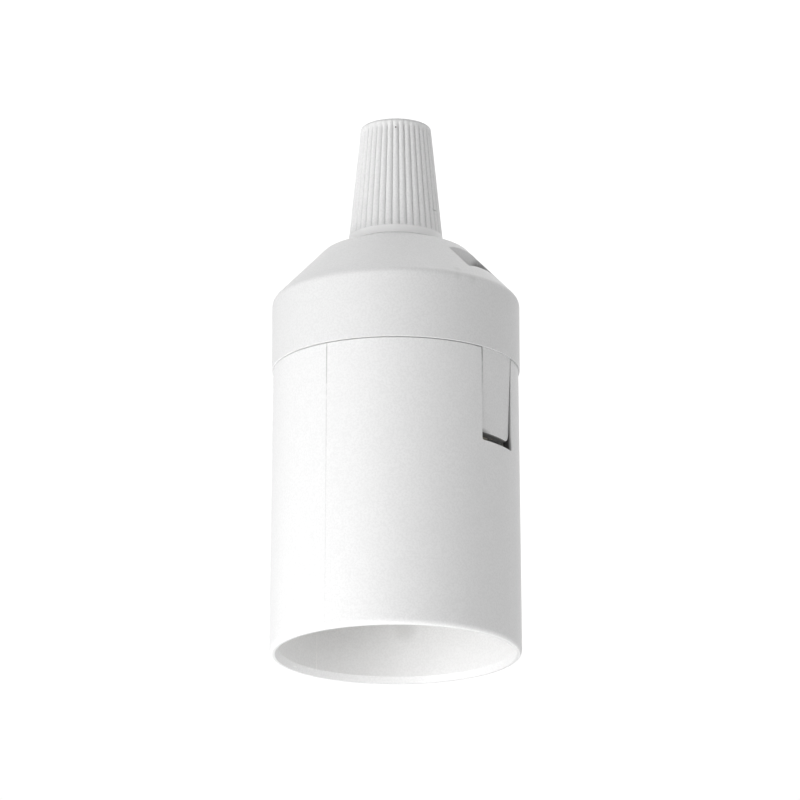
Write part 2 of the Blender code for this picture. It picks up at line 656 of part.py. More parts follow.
# Thread shell
def thread_radius(z, angle):
    """Inner face of the rolled round thread, right-handed, dying out into a plain tube at both ends."""
    low = SHELL_BOTTOM_Z + SHELL_PLAIN
    high = SHELL_TOP_Z - SHELL_THICK - SHELL_PLAIN
    wave = math.cos(2 * math.pi * (z - low) / THREAD_PITCH - angle)
    from_end = min(z - low, high - z) / (THREAD_PITCH / 2)
    share = max(0.0, min(1.0, from_end))
    share = share * share * (3 - 2 * share)
    return THREAD_MAJOR_R - THREAD_DEPTH / 2 * (1 - wave) * share


def make_thread_shell():
    rows = SHELL_TURNS * SHELL_ROWS_A_TURN
    low = SHELL_BOTTOM_Z + SHELL_PLAIN
    heights = [low + SHELL_TURNS * THREAD_PITCH * k / rows for k in range(rows + 1)]
    under_flange = SHELL_TOP_Z - SHELL_THICK
    bm = bmesh.new()
    loops = []
    for k in range(SHELL_STEPS):
        angle = 2 * math.pi * k / SHELL_STEPS
        inside = [(THREAD_MAJOR_R + SHELL_FLARE, SHELL_BOTTOM_Z)]
        inside += [(thread_radius(z, angle), z) for z in heights]
        inside += [(THREAD_MAJOR_R, under_flange), (SHELL_FLANGE_R, under_flange)]
        outside = [(THREAD_MAJOR_R + SHELL_FLARE + SHELL_THICK, SHELL_BOTTOM_Z)]
        outside += [(thread_radius(z, angle) + SHELL_THICK, z) for z in heights]
        outside += [(THREAD_MAJOR_R + SHELL_THICK, SHELL_TOP_Z), (SHELL_FLANGE_R, SHELL_TOP_Z)]
        loop = inside + list(reversed(outside))
        loops.append([bm.verts.new((*polar(r, angle), z)) for r, z in loop])
    count = len(loops[0])
    for near, far in zip(loops, loops[1:] + loops[:1]):
        for k in range(count):
            n = (k + 1) % count
            bm.faces.new((near[k], near[n], far[n], far[k]))
    shell = solid("thread_shell", bm, NICKEL)
    for angle in SHELL_RIVET_ANGLES.values():
        x, y = polar(SHELL_RIVET_R, angle)
        drill(shell, x, y, RIVET_R + HOLE_CLEARANCE, under_flange - SEAT_GAP, INSERT_BOTTOM_Z)
    return shell


# Rivets: both heads and the shank in one turned piece
def make_rivet(name, x, y, low_face, high_face):
    return turned(name, [
        (0.0, low_face - RIVET_HEAD_HEIGHT),
        (RIVET_HEAD_R, low_face - RIVET_HEAD_HEIGHT / 3),
        (RIVET_HEAD_R, low_face),
        (RIVET_R, low_face),
        (RIVET_R, high_face),
        (RIVET_HEAD_R, high_face),
        (RIVET_HEAD_R, high_face + RIVET_HEAD_HEIGHT / 3),
        (0.0, high_face + RIVET_HEAD_HEIGHT),
    ], BRASS, RIVET_STEPS, (x, y))


def make_rivets():
    flange_under = SHELL_TOP_Z - SHELL_THICK - SEAT_GAP
    for name, angle in SHELL_RIVET_ANGLES.items():
        x, y = polar(SHELL_RIVET_R, angle)
        on_plate = name == "shell_rivet_neutral"
        top = RIVET_TOP_Z if on_plate else INSERT_FLOOR_Z + SEAT_GAP
        make_rivet(name, x, y, flange_under, top)
    make_rivet("contact_rivet", 0.0, LIVE_RIVET_Y, STRIP_TOP_Z - STRIP_THICK - SEAT_GAP, RIVET_TOP_Z)


# Centre contact: a bent spring strip, riveted at one end, domed where the bulb touches it
def make_centre_contact():
    foot_end = LIVE_RIVET_Y + RIVET_HEAD_R
    bend = LIVE_RIVET_Y - RIVET_HEAD_R
    dome_low = STRIP_TOP_Z - STRIP_DROP
    upper = [
        (foot_end, STRIP_TOP_Z),
        (bend, STRIP_TOP_Z),
        (STRIP_TIP_R, dome_low),
        (-STRIP_TIP_R, dome_low),
        (-STRIP_TIP_R - STRIP_THICK, dome_low + STRIP_THICK),
    ]
    lower = [
        (-STRIP_TIP_R - 1.5 * STRIP_THICK, dome_low),
        (-STRIP_TIP_R - STRIP_THICK / 2, dome_low - STRIP_THICK),
        (STRIP_TIP_R - STRIP_THICK / 2, dome_low - STRIP_THICK),
        (bend - STRIP_THICK / 2, STRIP_TOP_Z - STRIP_THICK),
        (foot_end, STRIP_TOP_Z - STRIP_THICK),
    ]
    strip = prism_x("centre_contact", upper + lower, -STRIP_WIDTH / 2, STRIP_WIDTH / 2, BRONZE)
    drill(strip, 0.0, LIVE_RIVET_Y, RIVET_R + HOLE_CLEARANCE, dome_low, STRIP_TOP_Z + STRIP_DROP)
    button = turned("button", [
        (0.0, dome_low - STRIP_THICK / 2),
        (STRIP_TIP_R * 0.8, dome_low - STRIP_THICK / 2),
        (STRIP_TIP_R * 0.8, dome_low - STRIP_THICK * 1.2),
        (STRIP_TIP_R * 0.5, dome_low - STRIP_THICK * 1.8),
        (0.0, dome_low - STRIP_THICK * 1.8),
    ], BRONZE, RIVET_STEPS)
    join(strip, button)
    return move_origin(strip, (0.0, bend, STRIP_TOP_Z - STRIP_THICK / 2))


# Terminals: a plate on the insert, a clamp plate over it and a slotted screw
def make_terminal(side, screw_y, rivet_y):
    low_y = min(screw_y, rivet_y) - PLATE_MARGIN
    high_y = max(screw_y, rivet_y) + PLATE_MARGIN
    plate = block("terminal_" + side, (-PLATE_WIDTH / 2, low_y, PLATE_Z),
                  (PLATE_WIDTH / 2, high_y, PLATE_Z + PLATE_THICK), BRASS)
    drill(plate, 0.0, screw_y, SCREW_R + HOLE_CLEARANCE, INSERT_STEP_Z, HEAD_Z, 16)
    drill(plate, 0.0, rivet_y, RIVET_R + HOLE_CLEARANCE, INSERT_STEP_Z, HEAD_Z)

    clamp = block("clamp_" + side, (-CLAMP_SIZE / 2, screw_y - RIVET_HEAD_R - SIDE_GAP / 2, CLAMP_Z),
                  (CLAMP_SIZE / 2, screw_y + RIVET_HEAD_R + SIDE_GAP / 2, CLAMP_Z + CLAMP_THICK), NICKEL)
    for x in (-WIRE_GROOVE_X, WIRE_GROOVE_X):
        groove = block("groove", (x - WIRE_GROOVE_WIDTH / 2, screw_y - CLAMP_SIZE, CLAMP_Z - CLAMP_THICK),
                       (x + WIRE_GROOVE_WIDTH / 2, screw_y + CLAMP_SIZE, CLAMP_Z + CLAMP_THICK / 3), NICKEL)
        cut(clamp, groove)
    drill(clamp, 0.0, screw_y, SCREW_R + HOLE_CLEARANCE, PLATE_Z, HEAD_Z + SEAT_GAP, 16)
    move_origin(clamp, (0.0, screw_y, CLAMP_Z))

    screw = turned("terminal_screw_" + side, [
        (0.0, HEAD_Z - SCREW_LENGTH),
        (SCREW_R * 0.7, HEAD_Z - SCREW_LENGTH),
        (SCREW_R, HEAD_Z - SCREW_LENGTH + SCREW_R * 0.4),
        (SCREW_R, HEAD_Z),
        (SCREW_HEAD_R, HEAD_Z),
        (SCREW_HEAD_R, HEAD_Z + SCREW_HEAD_HEIGHT, SCREW_HEAD_HEIGHT / 3),
        (0.0, HEAD_Z + SCREW_HEAD_HEIGHT),
    ], NICKEL, 20, (0.0, screw_y))
    slot = block("slot", (-SCREW_HEAD_R * 1.2, screw_y - SCREW_SLOT / 2, HEAD_Z + SCREW_HEAD_HEIGHT / 2),
                 (SCREW_HEAD_R * 1.2, screw_y + SCREW_SLOT / 2, HEAD_Z + SCREW_HEAD_HEIGHT * 1.2), NICKEL)
    cut(screw, slot)
    move_origin(screw, (0.0, screw_y, HEAD_Z))


# Cord grip
def make_stem():
    return turned("grip_stem", [
        (STEM_BORE_R, STEM_BOTTOM_Z),
        (STEM_R, STEM_BOTTOM_Z, RIM_ROUND),
        (STEM_R, COLLAR_Z),
        (STEM_COLLAR_R, COLLAR_Z),
        (STEM_COLLAR_R, COLLAR_Z + STEM_COLLAR_HEIGHT, RIM_ROUND),
        (STEM_R, COLLAR_Z + STEM_COLLAR_HEIGHT),
        (STEM_R, STEM_TOP_Z, RIM_ROUND),
        (STEM_BORE_R, STEM_TOP_Z),
    ], WHITE, SMALL_STEPS)


def make_locknut():
    corner_r = LOCKNUT_FLATS / math.sqrt(3.0)
    low = LOCKNUT_TOP_Z - LOCKNUT_HEIGHT
    locknut = turned("grip_locknut", [
        (0.0, low),
        (corner_r, low),
        (corner_r, LOCKNUT_TOP_Z),
        (0.0, LOCKNUT_TOP_Z),
    ], NICKEL, 6)
    return drill(locknut, 0.0, 0.0, STEM_R + SIDE_GAP, low - SEAT_GAP, LOCKNUT_TOP_Z + SEAT_GAP, SMALL_STEPS)


def make_cord_clamp():
    straight = CLAMP_CONE_HEIGHT / 6
    clamp = turned("cord_clamp", [
        (CLAMP_BORE_R, CLAMP_CONE_Z),
        (STEM_R, CLAMP_CONE_Z),
        (STEM_R, CLAMP_CONE_Z + straight),
        (CLAMP_CONE_TOP_R, CLAMP_CONE_TOP_Z),
        (CLAMP_BORE_R, CLAMP_CONE_TOP_Z),
    ], NATURAL, SMALL_STEPS)
    slit = block("slit", (-CAP_R, -CLAMP_SLIT / 2, CLAMP_CONE_Z - SEAT_GAP),
                 (0.0, CLAMP_SLIT / 2, CLAMP_CONE_TOP_Z + SEAT_GAP), NATURAL)
    return cut(clamp, slit)


def make_grip_nut():
    """The fluted cone: ridges and square-ended grooves, then the stepped bore is cut out."""
    def outer(z):
        return NUT_BASE_R + (NUT_TOP_R - NUT_BASE_R) * (z - COLLAR_Z) / NUT_HEIGHT

    groove_start = COLLAR_Z + NUT_BAND
    round_start = NUT_TOP_Z - NUT_TOP_ROUND
    run_out = SEAT_GAP / 2
    rows = [
        (outer(COLLAR_Z), COLLAR_Z, 0.0),
        (outer(groove_start), groove_start, 0.0),
        (outer(groove_start), groove_start + run_out, 1.0),
        (outer(round_start), round_start, 1.0),
    ]
    for k in (1, 2):
        angle = math.pi / 2 * k / ARC_STEPS
        rows.append((outer(round_start) - NUT_TOP_ROUND * (1 - math.cos(angle)),
                     round_start + NUT_TOP_ROUND * math.sin(angle), 1.0 - k / 2))
    rows.append((outer(round_start) - NUT_TOP_ROUND, NUT_TOP_Z, 0.0))
    pitch = 2 * math.pi / FLUTE_COUNT
    groove = pitch * FLUTE_SHARE
    flat_share = 0.5
    bm = bmesh.new()
    rings = []
    for radius, z, depth in rows:
        ring = []
        for k in range(FLUTE_COUNT):
            middle = FLUTE_TURN + (k + 0.5) * pitch
            for offset, sunk in ((-0.5, 0.0), (-0.5 * flat_share, 1.0), (0.5 * flat_share, 1.0), (0.5, 0.0)):
                x, y = polar(radius - FLUTE_DEPTH * depth * sunk, middle + groove * offset)
                ring.append(bm.verts.new((x, y, z)))
        rings.append(ring)
    count = len(rings[0])
    for low, high in zip(rings, rings[1:]):
        for k in range(count):
            n = (k + 1) % count
            bm.faces.new((low[k], low[n], high[n], high[k]))
    bm.faces.new(list(reversed(rings[0])))
    bm.faces.new(rings[-1])
    nut = solid("grip_nut", bm, WHITE)

    collar_room = COLLAR_Z + STEM_COLLAR_HEIGHT + SEAT_GAP
    thread_r = STEM_R + SIDE_GAP
    cone_low = CLAMP_CONE_Z + CLAMP_CONE_HEIGHT / 6
    bore = turned("bore", [
        (0.0, COLLAR_Z - SEAT_GAP),
        (STEM_COLLAR_R + SIDE_GAP, COLLAR_Z - SEAT_GAP),
        (STEM_COLLAR_R + SIDE_GAP, collar_room),
        (thread_r, collar_room),
        (thread_r, cone_low),
        (CLAMP_CONE_TOP_R + SIDE_GAP, CLAMP_CONE_TOP_Z + SEAT_GAP),
        (CORD_HOLE_R, CLAMP_CONE_TOP_Z + SEAT_GAP),
        (CORD_HOLE_R, NUT_TOP_Z + SEAT_GAP),
        (0.0, NUT_TOP_Z + SEAT_GAP),
    ], WHITE, SMALL_STEPS)
    return cut(nut, bore)


make_skirt()
make_cap()
make_latch()
make_insert()
make_thread_shell()
make_rivets()
make_centre_contact()
make_terminal("live", LIVE_SCREW_Y, LIVE_RIVET_Y)
make_terminal("neutral", NEUTRAL_SCREW_Y, NEUTRAL_RIVET_Y)
make_stem()
make_locknut()
make_cord_clamp()
make_grip_nut()
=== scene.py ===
import math

import bmesh
import bpy
from mathutils import Matrix, Vector


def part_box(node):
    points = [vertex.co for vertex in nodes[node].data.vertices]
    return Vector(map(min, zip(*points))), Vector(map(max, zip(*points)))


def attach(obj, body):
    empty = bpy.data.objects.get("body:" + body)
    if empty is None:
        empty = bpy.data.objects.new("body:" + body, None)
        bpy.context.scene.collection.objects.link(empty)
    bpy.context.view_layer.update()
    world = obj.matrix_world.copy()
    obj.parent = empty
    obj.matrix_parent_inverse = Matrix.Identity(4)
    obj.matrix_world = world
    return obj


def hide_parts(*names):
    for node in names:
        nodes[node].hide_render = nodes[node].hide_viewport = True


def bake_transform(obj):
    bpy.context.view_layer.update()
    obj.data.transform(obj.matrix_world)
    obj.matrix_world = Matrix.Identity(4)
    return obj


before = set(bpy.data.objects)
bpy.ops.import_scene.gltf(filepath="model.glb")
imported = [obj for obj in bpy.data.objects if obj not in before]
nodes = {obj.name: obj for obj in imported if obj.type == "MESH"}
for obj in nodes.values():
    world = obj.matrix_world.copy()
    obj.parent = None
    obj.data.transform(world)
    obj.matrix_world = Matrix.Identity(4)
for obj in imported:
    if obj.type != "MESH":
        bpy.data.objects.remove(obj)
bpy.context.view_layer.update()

# Twist-lock lamp holder. The frame's solids set every place; this script dresses them.
mm = 0.001
fullTurn = 2 * math.pi
up = (0, 0, 1)
deg = math.radians

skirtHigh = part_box("skirt")[1]
capLow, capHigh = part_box("cap")
nutLow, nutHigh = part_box("grip_nut")
stemLow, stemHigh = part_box("grip_stem")
insertLow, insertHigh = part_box("insert")
shellLow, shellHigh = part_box("thread_shell")
clampLow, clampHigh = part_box("cord_clamp")

fit = {
    "seat": 0.30 * mm,   # between pieces that rest on each other in the frame
    "side": 0.30 * mm,   # between pieces that slide or turn beside each other
}


# Shader maths: a socket that takes plain operators

class Wire:
    def __init__(self, maker, socket):
        self.maker = maker
        self.socket = socket

    def math(self, operation, *others):
        return self.maker.node("ShaderNodeMath", {"operation": operation}, [self, *others])

    def __add__(self, other):
        return self.math("ADD", other)

    __radd__ = __add__

    def __sub__(self, other):
        return self.math("SUBTRACT", other)

    def __rsub__(self, other):
        return self.maker.node("ShaderNodeMath", {"operation": "SUBTRACT"}, [other, self])

    def __mul__(self, other):
        return self.math("MULTIPLY", other)

    def __lt__(self, other):
        return self.math("LESS_THAN", other)

    def __gt__(self, other):
        return self.math("GREATER_THAN", other)

    def __pow__(self, other):
        return self.math("POWER", other)


class Maker:
    def __init__(self, tree):
        self.tree = tree
        tree.nodes.clear()

    def node(self, kind, settings=None, values=None, out=0):
        made = self.tree.nodes.new(kind)
        for key, value in (settings or {}).items():
            setattr(made, key, value)
        pairs = values.items() if isinstance(values, dict) else enumerate(values or [])
        for key, value in pairs:
            if isinstance(value, Wire):
                self.tree.links.new(value.socket, made.inputs[key])
            else:
                made.inputs[key].default_value = value
        return Wire(self, made.outputs[out]) if len(made.outputs) else None

    def ramp(self, value, *stops):
        shaded = self.node("ShaderNodeValToRGB", None, [value])
        elements = shaded.socket.node.color_ramp.elements
        elements.remove(elements[-1])
        for k, (place, shade) in enumerate(stops):
            element = elements.new(place) if k else elements[0]
            element.position = place
            element.color = (shade, shade, shade, 1)
        return shaded

    def places(self, stretch=(1, 1, 1)):
        spot = self.node("ShaderNodeTexCoord", out="Object")
        return self.node("ShaderNodeVectorMath", {"operation": "MULTIPLY"}, [spot, stretch])

    def grain(self, where, scale, detail=2.0, rough=0.5):
        values = {"Vector": where, "Scale": scale, "Detail": detail, "Roughness": rough}
        return self.node("ShaderNodeTexNoise", None, values)

    def cells(self, where, scale, out="Distance"):
        return self.node("ShaderNodeTexVoronoi", None, {"Vector": where, "Scale": scale}, out)

    def measure(self, operation, *vectors):
        return self.node("ShaderNodeVectorMath", {"operation": operation}, vectors, out="Value")

    def along(self, where, way):
        return self.measure("DOT_PRODUCT", where, way)

    def fromAxis(self):
        return self.measure("LENGTH", self.places((1, 1, 0)))

    def mix(self, share, first, second):
        settings = {"data_type": "RGBA"}
        return self.node("ShaderNodeMix", settings, {0: share, 6: first, 7: second}, out=2)

    def bump(self, height, strength, distance, under=None):
        values = {"Height": height, "Strength": strength, "Distance": distance}
        if under:
            values["Normal"] = under
        return self.node("ShaderNodeBump", None, values)

    def principled(self, values):
        surface = self.node("ShaderNodeBsdfPrincipled", None, values)
        self.node("ShaderNodeOutputMaterial", None, [surface])


def newMaterial(name):
    material = bpy.data.materials.new(name)
    material.use_nodes = True
    return material, Maker(material.node_tree)


# Satin white thermoplastic: faint clouds, spark-eroded grain, a few specks and rub marks; each piece can add its own
# marks, hairlines and painted shade or light
whiteLook = {
    "colour": (0.85, 0.85, 0.85, 1),
    "cloud": (0.83, 0.83, 0.83, 1),
    "speck": (0.30, 0.28, 0.25, 1),
    # painted shade: slot walls, the tongue's hidden faces, groove bottoms, the mouth chamfer and the nut's top take
    # this colour
    "paintedShade": (0.10, 0.10, 0.10, 1),
    # painted light: the nut's plain band under the flutes takes this colour
    "light": (0.97, 0.97, 0.97, 1),
    "mottle": (0.80, 0.80, 0.80, 1),
    "mottleScale": 3300,
    # painted light or shade: scales each moulding's whites up or down
    "tint": 1.0,
    "rough": 0.40,
    "cloudScale": 260,
    "grainScale": 5200,
    "grainHeight": 0.012 * mm,
    "speckScale": 150,
    "speckSize": 0.012,
    "speckShare": 0.86,
}


def mark(place, radius, share, shade, stretch=(1, 1, 1), core=0.2):
    place = [part * mm * pull for part, pull in zip(place, stretch)]
    return {"place": place, "radius": radius * mm, "share": share, "core": core,
            "shade": (*shade, 1), "stretch": stretch}


def addMark(make, colour, spot):
    away = make.measure("DISTANCE", make.places(spot["stretch"]), spot["place"]) * (1 / spot["radius"])
    return make.mix(make.ramp(away, (spot["core"], spot["share"]), (1, 0)), colour, spot["shade"])


def addHairline(make, colour, line):
    spot = make.places()
    angle = line["angle"]
    onLine = make.along(spot, (-math.sin(angle), math.cos(angle), 0)).math("ABSOLUTE") < line["halfWidth"]
    out = make.along(spot, (math.cos(angle), math.sin(angle), 0))
    height = make.along(spot, up) * (1 / line["height"])
    broken = make.ramp(make.grain(make.places((1, 1, 0.5)), 1500, 2), (0.38, 0.35), (0.50, 1))
    share = make.ramp(height, *line["strength"]) * onLine * (out > line["from"]) * (out < line["to"])
    return make.mix(share * broken, colour, line["shade"])


def whiteMoulding(name, marks=(), hairlines=(), touch=None, **changes):
    look = {**whiteLook, **changes}
    material, make = newMaterial(name)
    spot = make.places()
    cloud = make.ramp(make.grain(spot, look["cloudScale"], 4, 0.6), (0.35, 0), (0.75, 1))
    # the whites are scaled here as painted light or shade
    shades = [tuple(part * look["tint"] for part in look[key][:3]) + (1,) for key in ("colour", "cloud", "mottle")]
    colour = make.mix(cloud, *shades[:2])
    mottle = make.ramp(make.grain(spot, look["mottleScale"], 1, 0.5), (0.40, 0), (0.62, 1))
    colour = make.mix(mottle, colour, shades[2])
    speckHere = make.cells(spot, look["speckScale"]) < look["speckSize"]
    speckPick = make.cells(spot, look["speckScale"], "Color") > look["speckShare"]
    colour = make.mix(speckHere * speckPick, colour, look["speck"])
    for dab in marks:
        colour = addMark(make, colour, dab)
    for line in hairlines:
        colour = addHairline(make, colour, line)
    # touch paints shade and light into the colour
    if touch:
        colour = touch(make, colour)
    rub = make.ramp(make.grain(make.places((1, 1, 0.12)), 900, 3, 0.7), (0.55, 0), (0.72, 1))
    fine = make.grain(spot, look["grainScale"], 2, 0.55)
    rough = look["rough"] + (fine - 0.5) * 0.10 + cloud * 0.03 - rub * 0.05
    normal = make.bump(fine, 0.35, look["grainHeight"])
    make.principled({"Base Color": colour, "Roughness": rough, "Normal": normal, "IOR": 1.49})
    return material


# Natural nylon of the cord clamp
nylonLook = {"colour": (0.76, 0.74, 0.67, 1), "shade": (0.70, 0.68, 0.60, 1), "rough": 0.48}


def naturalNylon():
    material, make = newMaterial("naturalNylon")
    spot = make.places()
    cloud = make.ramp(make.grain(spot, 500, 3), (0.35, 0), (0.7, 1))
    fine = make.grain(spot, 4200, 2)
    make.principled({
        "Base Color": make.mix(cloud, nylonLook["colour"], nylonLook["shade"]),
        "Roughness": nylonLook["rough"] + (fine - 0.5) * 0.12,
        "Normal": make.bump(fine, 0.3, 0.01 * mm),
    })
    return material


# Cream thermoset of the insert: hard, with a faint filler mottle
thermosetLook = {"colour": (0.74, 0.71, 0.62, 1), "shade": (0.66, 0.62, 0.52, 1), "rough": 0.34}


def creamThermoset():
    material, make = newMaterial("creamThermoset")
    spot = make.places()
    filler = make.ramp(make.cells(spot, 1900), (0.10, 1), (0.45, 0))
    cloud = make.ramp(make.grain(spot, 300, 4, 0.65), (0.35, 0), (0.7, 1))
    mottle = make.grain(spot, 2600, 3, 0.6)
    make.principled({
        "Base Color": make.mix(cloud * 0.7 + filler * 0.3, thermosetLook["colour"], thermosetLook["shade"]),
        "Roughness": thermosetLook["rough"] + mottle * 0.12,
        "Normal": make.bump(mottle, 0.25, 0.012 * mm),
    })
    return material


# Metals: one recipe, three finishes
metalLooks = {
    "brassSheet": {"colour": (0.72, 0.52, 0.24, 1), "tarnish": (0.42, 0.27, 0.11, 1), "rough": 0.30},
    "nickelPlate": {"colour": (0.70, 0.67, 0.61, 1), "tarnish": (0.50, 0.47, 0.41, 1), "rough": 0.24},
    "springBronze": {"colour": (0.72, 0.45, 0.24, 1), "tarnish": (0.40, 0.20, 0.10, 1), "rough": 0.28},
}


def metalFinish(name):
    look = metalLooks[name]
    material, make = newMaterial(name)
    spot = make.places()
    stain = make.ramp(make.grain(spot, 420, 5, 0.65), (0.45, 0), (0.75, 1))
    drawn = make.grain(make.places((1, 1, 14)), 700, 3, 0.6)
    make.principled({
        "Base Color": make.mix(stain * 0.6, look["colour"], look["tarnish"]),
        "Metallic": 1.0,
        "Roughness": look["rough"] + stain * 0.16 + drawn * 0.10,
        "Normal": make.bump(drawn, 0.2, 0.008 * mm),
    })
    return material


whitePlastic = whiteMoulding("whiteMoulding")
nylon = naturalNylon()
thermoset = creamThermoset()
brass = metalFinish("brassSheet")
nickel = metalFinish("nickelPlate")
bronze = metalFinish("springBronze")
print("materials ready")


# Mesh helpers
sharpAngle = deg(35)     # edges steeper than this stay sharp in the shading
bevelAngle = deg(32)     # edges steeper than this can be softened
past = 2 * mm            # how far a cutter runs beyond what it cuts
pickMargin = 0.02 * mm   # slack when edges are picked by their place


def polar(radius, angle):
    return radius * math.cos(angle), radius * math.sin(angle)


def smoothStep(value):
    value = max(0.0, min(1.0, value))
    return value * value * (3 - 2 * value)


def roundedOutline(corners, steps=6):
    points = []
    for k, corner in enumerate(corners):
        if len(corner) == 2:
            points.append(corner)
            continue
        before = Vector(corners[k - 1][:2])
        middle = Vector(corner[:2])
        after = Vector(corners[(k + 1) % len(corners)][:2])
        u = (before - middle).normalized()
        v = (after - middle).normalized()
        half = u.angle(v) / 2
        reach = min(corner[2] / math.tan(half), 0.48 * (before - middle).length, 0.48 * (after - middle).length)
        centre = middle + (u + v).normalized() * (reach / math.cos(half))
        arm = middle + u * reach - centre
        turn = arm.angle_signed(middle + v * reach - centre)
        for step in range(steps + 1):
            spoke = arm.copy()
            spoke.rotate(Matrix.Rotation(-turn * step / steps, 2))
            points.append(tuple(centre + spoke))
    return points


def evenSteps(low, high, count):
    return [low + (high - low) * k / count for k in range(count + 1)]


def evenAngles(count, start=0.0, keepClear=()):
    angles = [start + fullTurn * k / count for k in range(count)]
    return [a for a in angles if not any(low < a % fullTurn < high for low, high in keepClear)]


def finishPiece(name, bm):
    bmesh.ops.recalc_face_normals(bm, faces=bm.faces)
    mesh = bpy.data.meshes.new(name)
    bm.to_mesh(mesh)
    bm.free()
    mesh.shade_smooth()
    mesh.set_sharp_from_angle(angle=sharpAngle)
    piece = bpy.data.objects.new(name, mesh)
    bpy.context.scene.collection.objects.link(piece)
    return piece


def atAngle(outline, angle):
    return [(*polar(r, angle), z) for r, z in outline]


def skinned(name, loops, closed=True):
    bm = bmesh.new()
    rows = [[bm.verts.new(point) for point in loop] for loop in loops]
    count = len(rows[0])
    for near, far in zip(rows, rows[1:] + (rows[:1] if closed else [])):
        for k in range(count):
            n = (k + 1) % count
            bm.faces.new((near[k], near[n], far[n], far[k]))
    if not closed:
        bm.faces.new(rows[0])
        bm.faces.new(rows[-1][::-1])
    return finishPiece(name, bm)


def spun(name, outline, angles, push=None, centre=(0.0, 0.0)):
    bm = bmesh.new()
    rings = []
    for radius, z in outline:
        if radius < 1e-7:
            rings.append([bm.verts.new((*centre, z))])
            continue
        ring = []
        for angle in angles:
            x, y = polar(radius + (push(radius, z, angle) if push else 0.0), angle)
            ring.append(bm.verts.new((centre[0] + x, centre[1] + y, z)))
        rings.append(ring)
    pairs = list(zip(rings, rings[1:] + rings[:1]))
    if len(rings[0]) == 1:
        pairs.pop()
    count = len(angles)
    for low, high in pairs:
        for k in range(count):
            n = (k + 1) % count
            if len(low) == 1:
                bm.faces.new((low[0], high[k], high[n]))
            elif len(high) == 1:
                bm.faces.new((low[k], low[n], high[0]))
            else:
                bm.faces.new((low[k], low[n], high[n], high[k]))
    return finishPiece(name, bm)


def arcBody(outline, middle, arc, steps):
    angles = evenSteps(middle - arc / 2, middle + arc / 2, steps)
    return skinned("arcBody", [atAngle(outline, angle) for angle in angles], closed=False)


def drawnOut(outline, place, reach):
    bm = bmesh.new()
    face = bm.faces.new([bm.verts.new(place(*point)) for point in outline])
    moved = bmesh.ops.extrude_face_region(bm, geom=[face])
    far = [v for v in moved["geom"] if isinstance(v, bmesh.types.BMVert)]
    bmesh.ops.translate(bm, verts=far, vec=reach)
    return finishPiece("drawnOut", bm)


def alongX(outline, low, high):
    return drawnOut(outline, lambda y, z: (low, y, z), (high - low, 0, 0))


def alongY(outline, half):
    return drawnOut(outline, lambda x, z: (x, -half, z), (0, 2 * half, 0))


def brick(low, high, round=0.0):
    bm = bmesh.new()
    bmesh.ops.create_cube(bm, size=1.0)
    for v in bm.verts:
        v.co = [low[a] + (v.co[a] + 0.5) * (high[a] - low[a]) for a in range(3)]
    if round:
        bmesh.ops.bevel(bm, geom=bm.edges[:], offset=round, segments=3, profile=0.5, affect="EDGES")
    return finishPiece("brick", bm)


def combine(piece, tool, operation):
    step = piece.modifiers.new("step", "BOOLEAN")
    step.object = tool
    step.operation = operation
    step.solver = "EXACT"
    shown = piece.evaluated_get(bpy.context.evaluated_depsgraph_get())
    made = bpy.data.meshes.new_from_object(shown)
    piece.modifiers.clear()
    old = piece.data
    piece.data = made
    bpy.data.meshes.remove(old)
    bpy.data.objects.remove(tool, do_unlink=True)
    return piece


def cut(piece, tool):
    return combine(piece, tool, "DIFFERENCE")


def join(piece, tool):
    return combine(piece, tool, "UNION")


def drill(piece, x, y, radius, low, high, steps=32):
    pin = [(0.0, low), (radius, low), (radius, high), (0.0, high)]
    return cut(piece, spun("pin", pin, evenAngles(steps), centre=(x, y)))


def softenEdges(piece, wanted, width, steps=3):
    bm = bmesh.new()
    bm.from_mesh(piece.data)
    edges = [edge for edge in bm.edges if edge.calc_face_angle(0.0) > bevelAngle
             and wanted((edge.verts[0].co + edge.verts[1].co) / 2)]
    bmesh.ops.bevel(bm, geom=edges, offset=width, segments=steps, profile=0.5, affect="EDGES", clamp_overlap=True)
    bm.to_mesh(piece.data)
    bm.free()
    return piece


def addShell(piece, other):
    bm = bmesh.new()
    bm.from_mesh(piece.data)
    bm.from_mesh(other.data)
    bm.to_mesh(piece.data)
    bm.free()
    bpy.data.objects.remove(other, do_unlink=True)
    return piece


def settle(piece, body, node, material):
    piece.name = node + "Form"
    piece.data.name = piece.name
    piece.data.materials.clear()
    piece.data.materials.append(material)
    for face in piece.data.polygons:
        face.material_index = 0
    piece.data.shade_smooth()
    piece.data.set_sharp_from_angle(angle=sharpAngle)
    shading = piece.modifiers.new("shading", "WEIGHTED_NORMAL")
    shading.keep_sharp = True
    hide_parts(node)
    if body:
        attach(piece, body)
    return piece


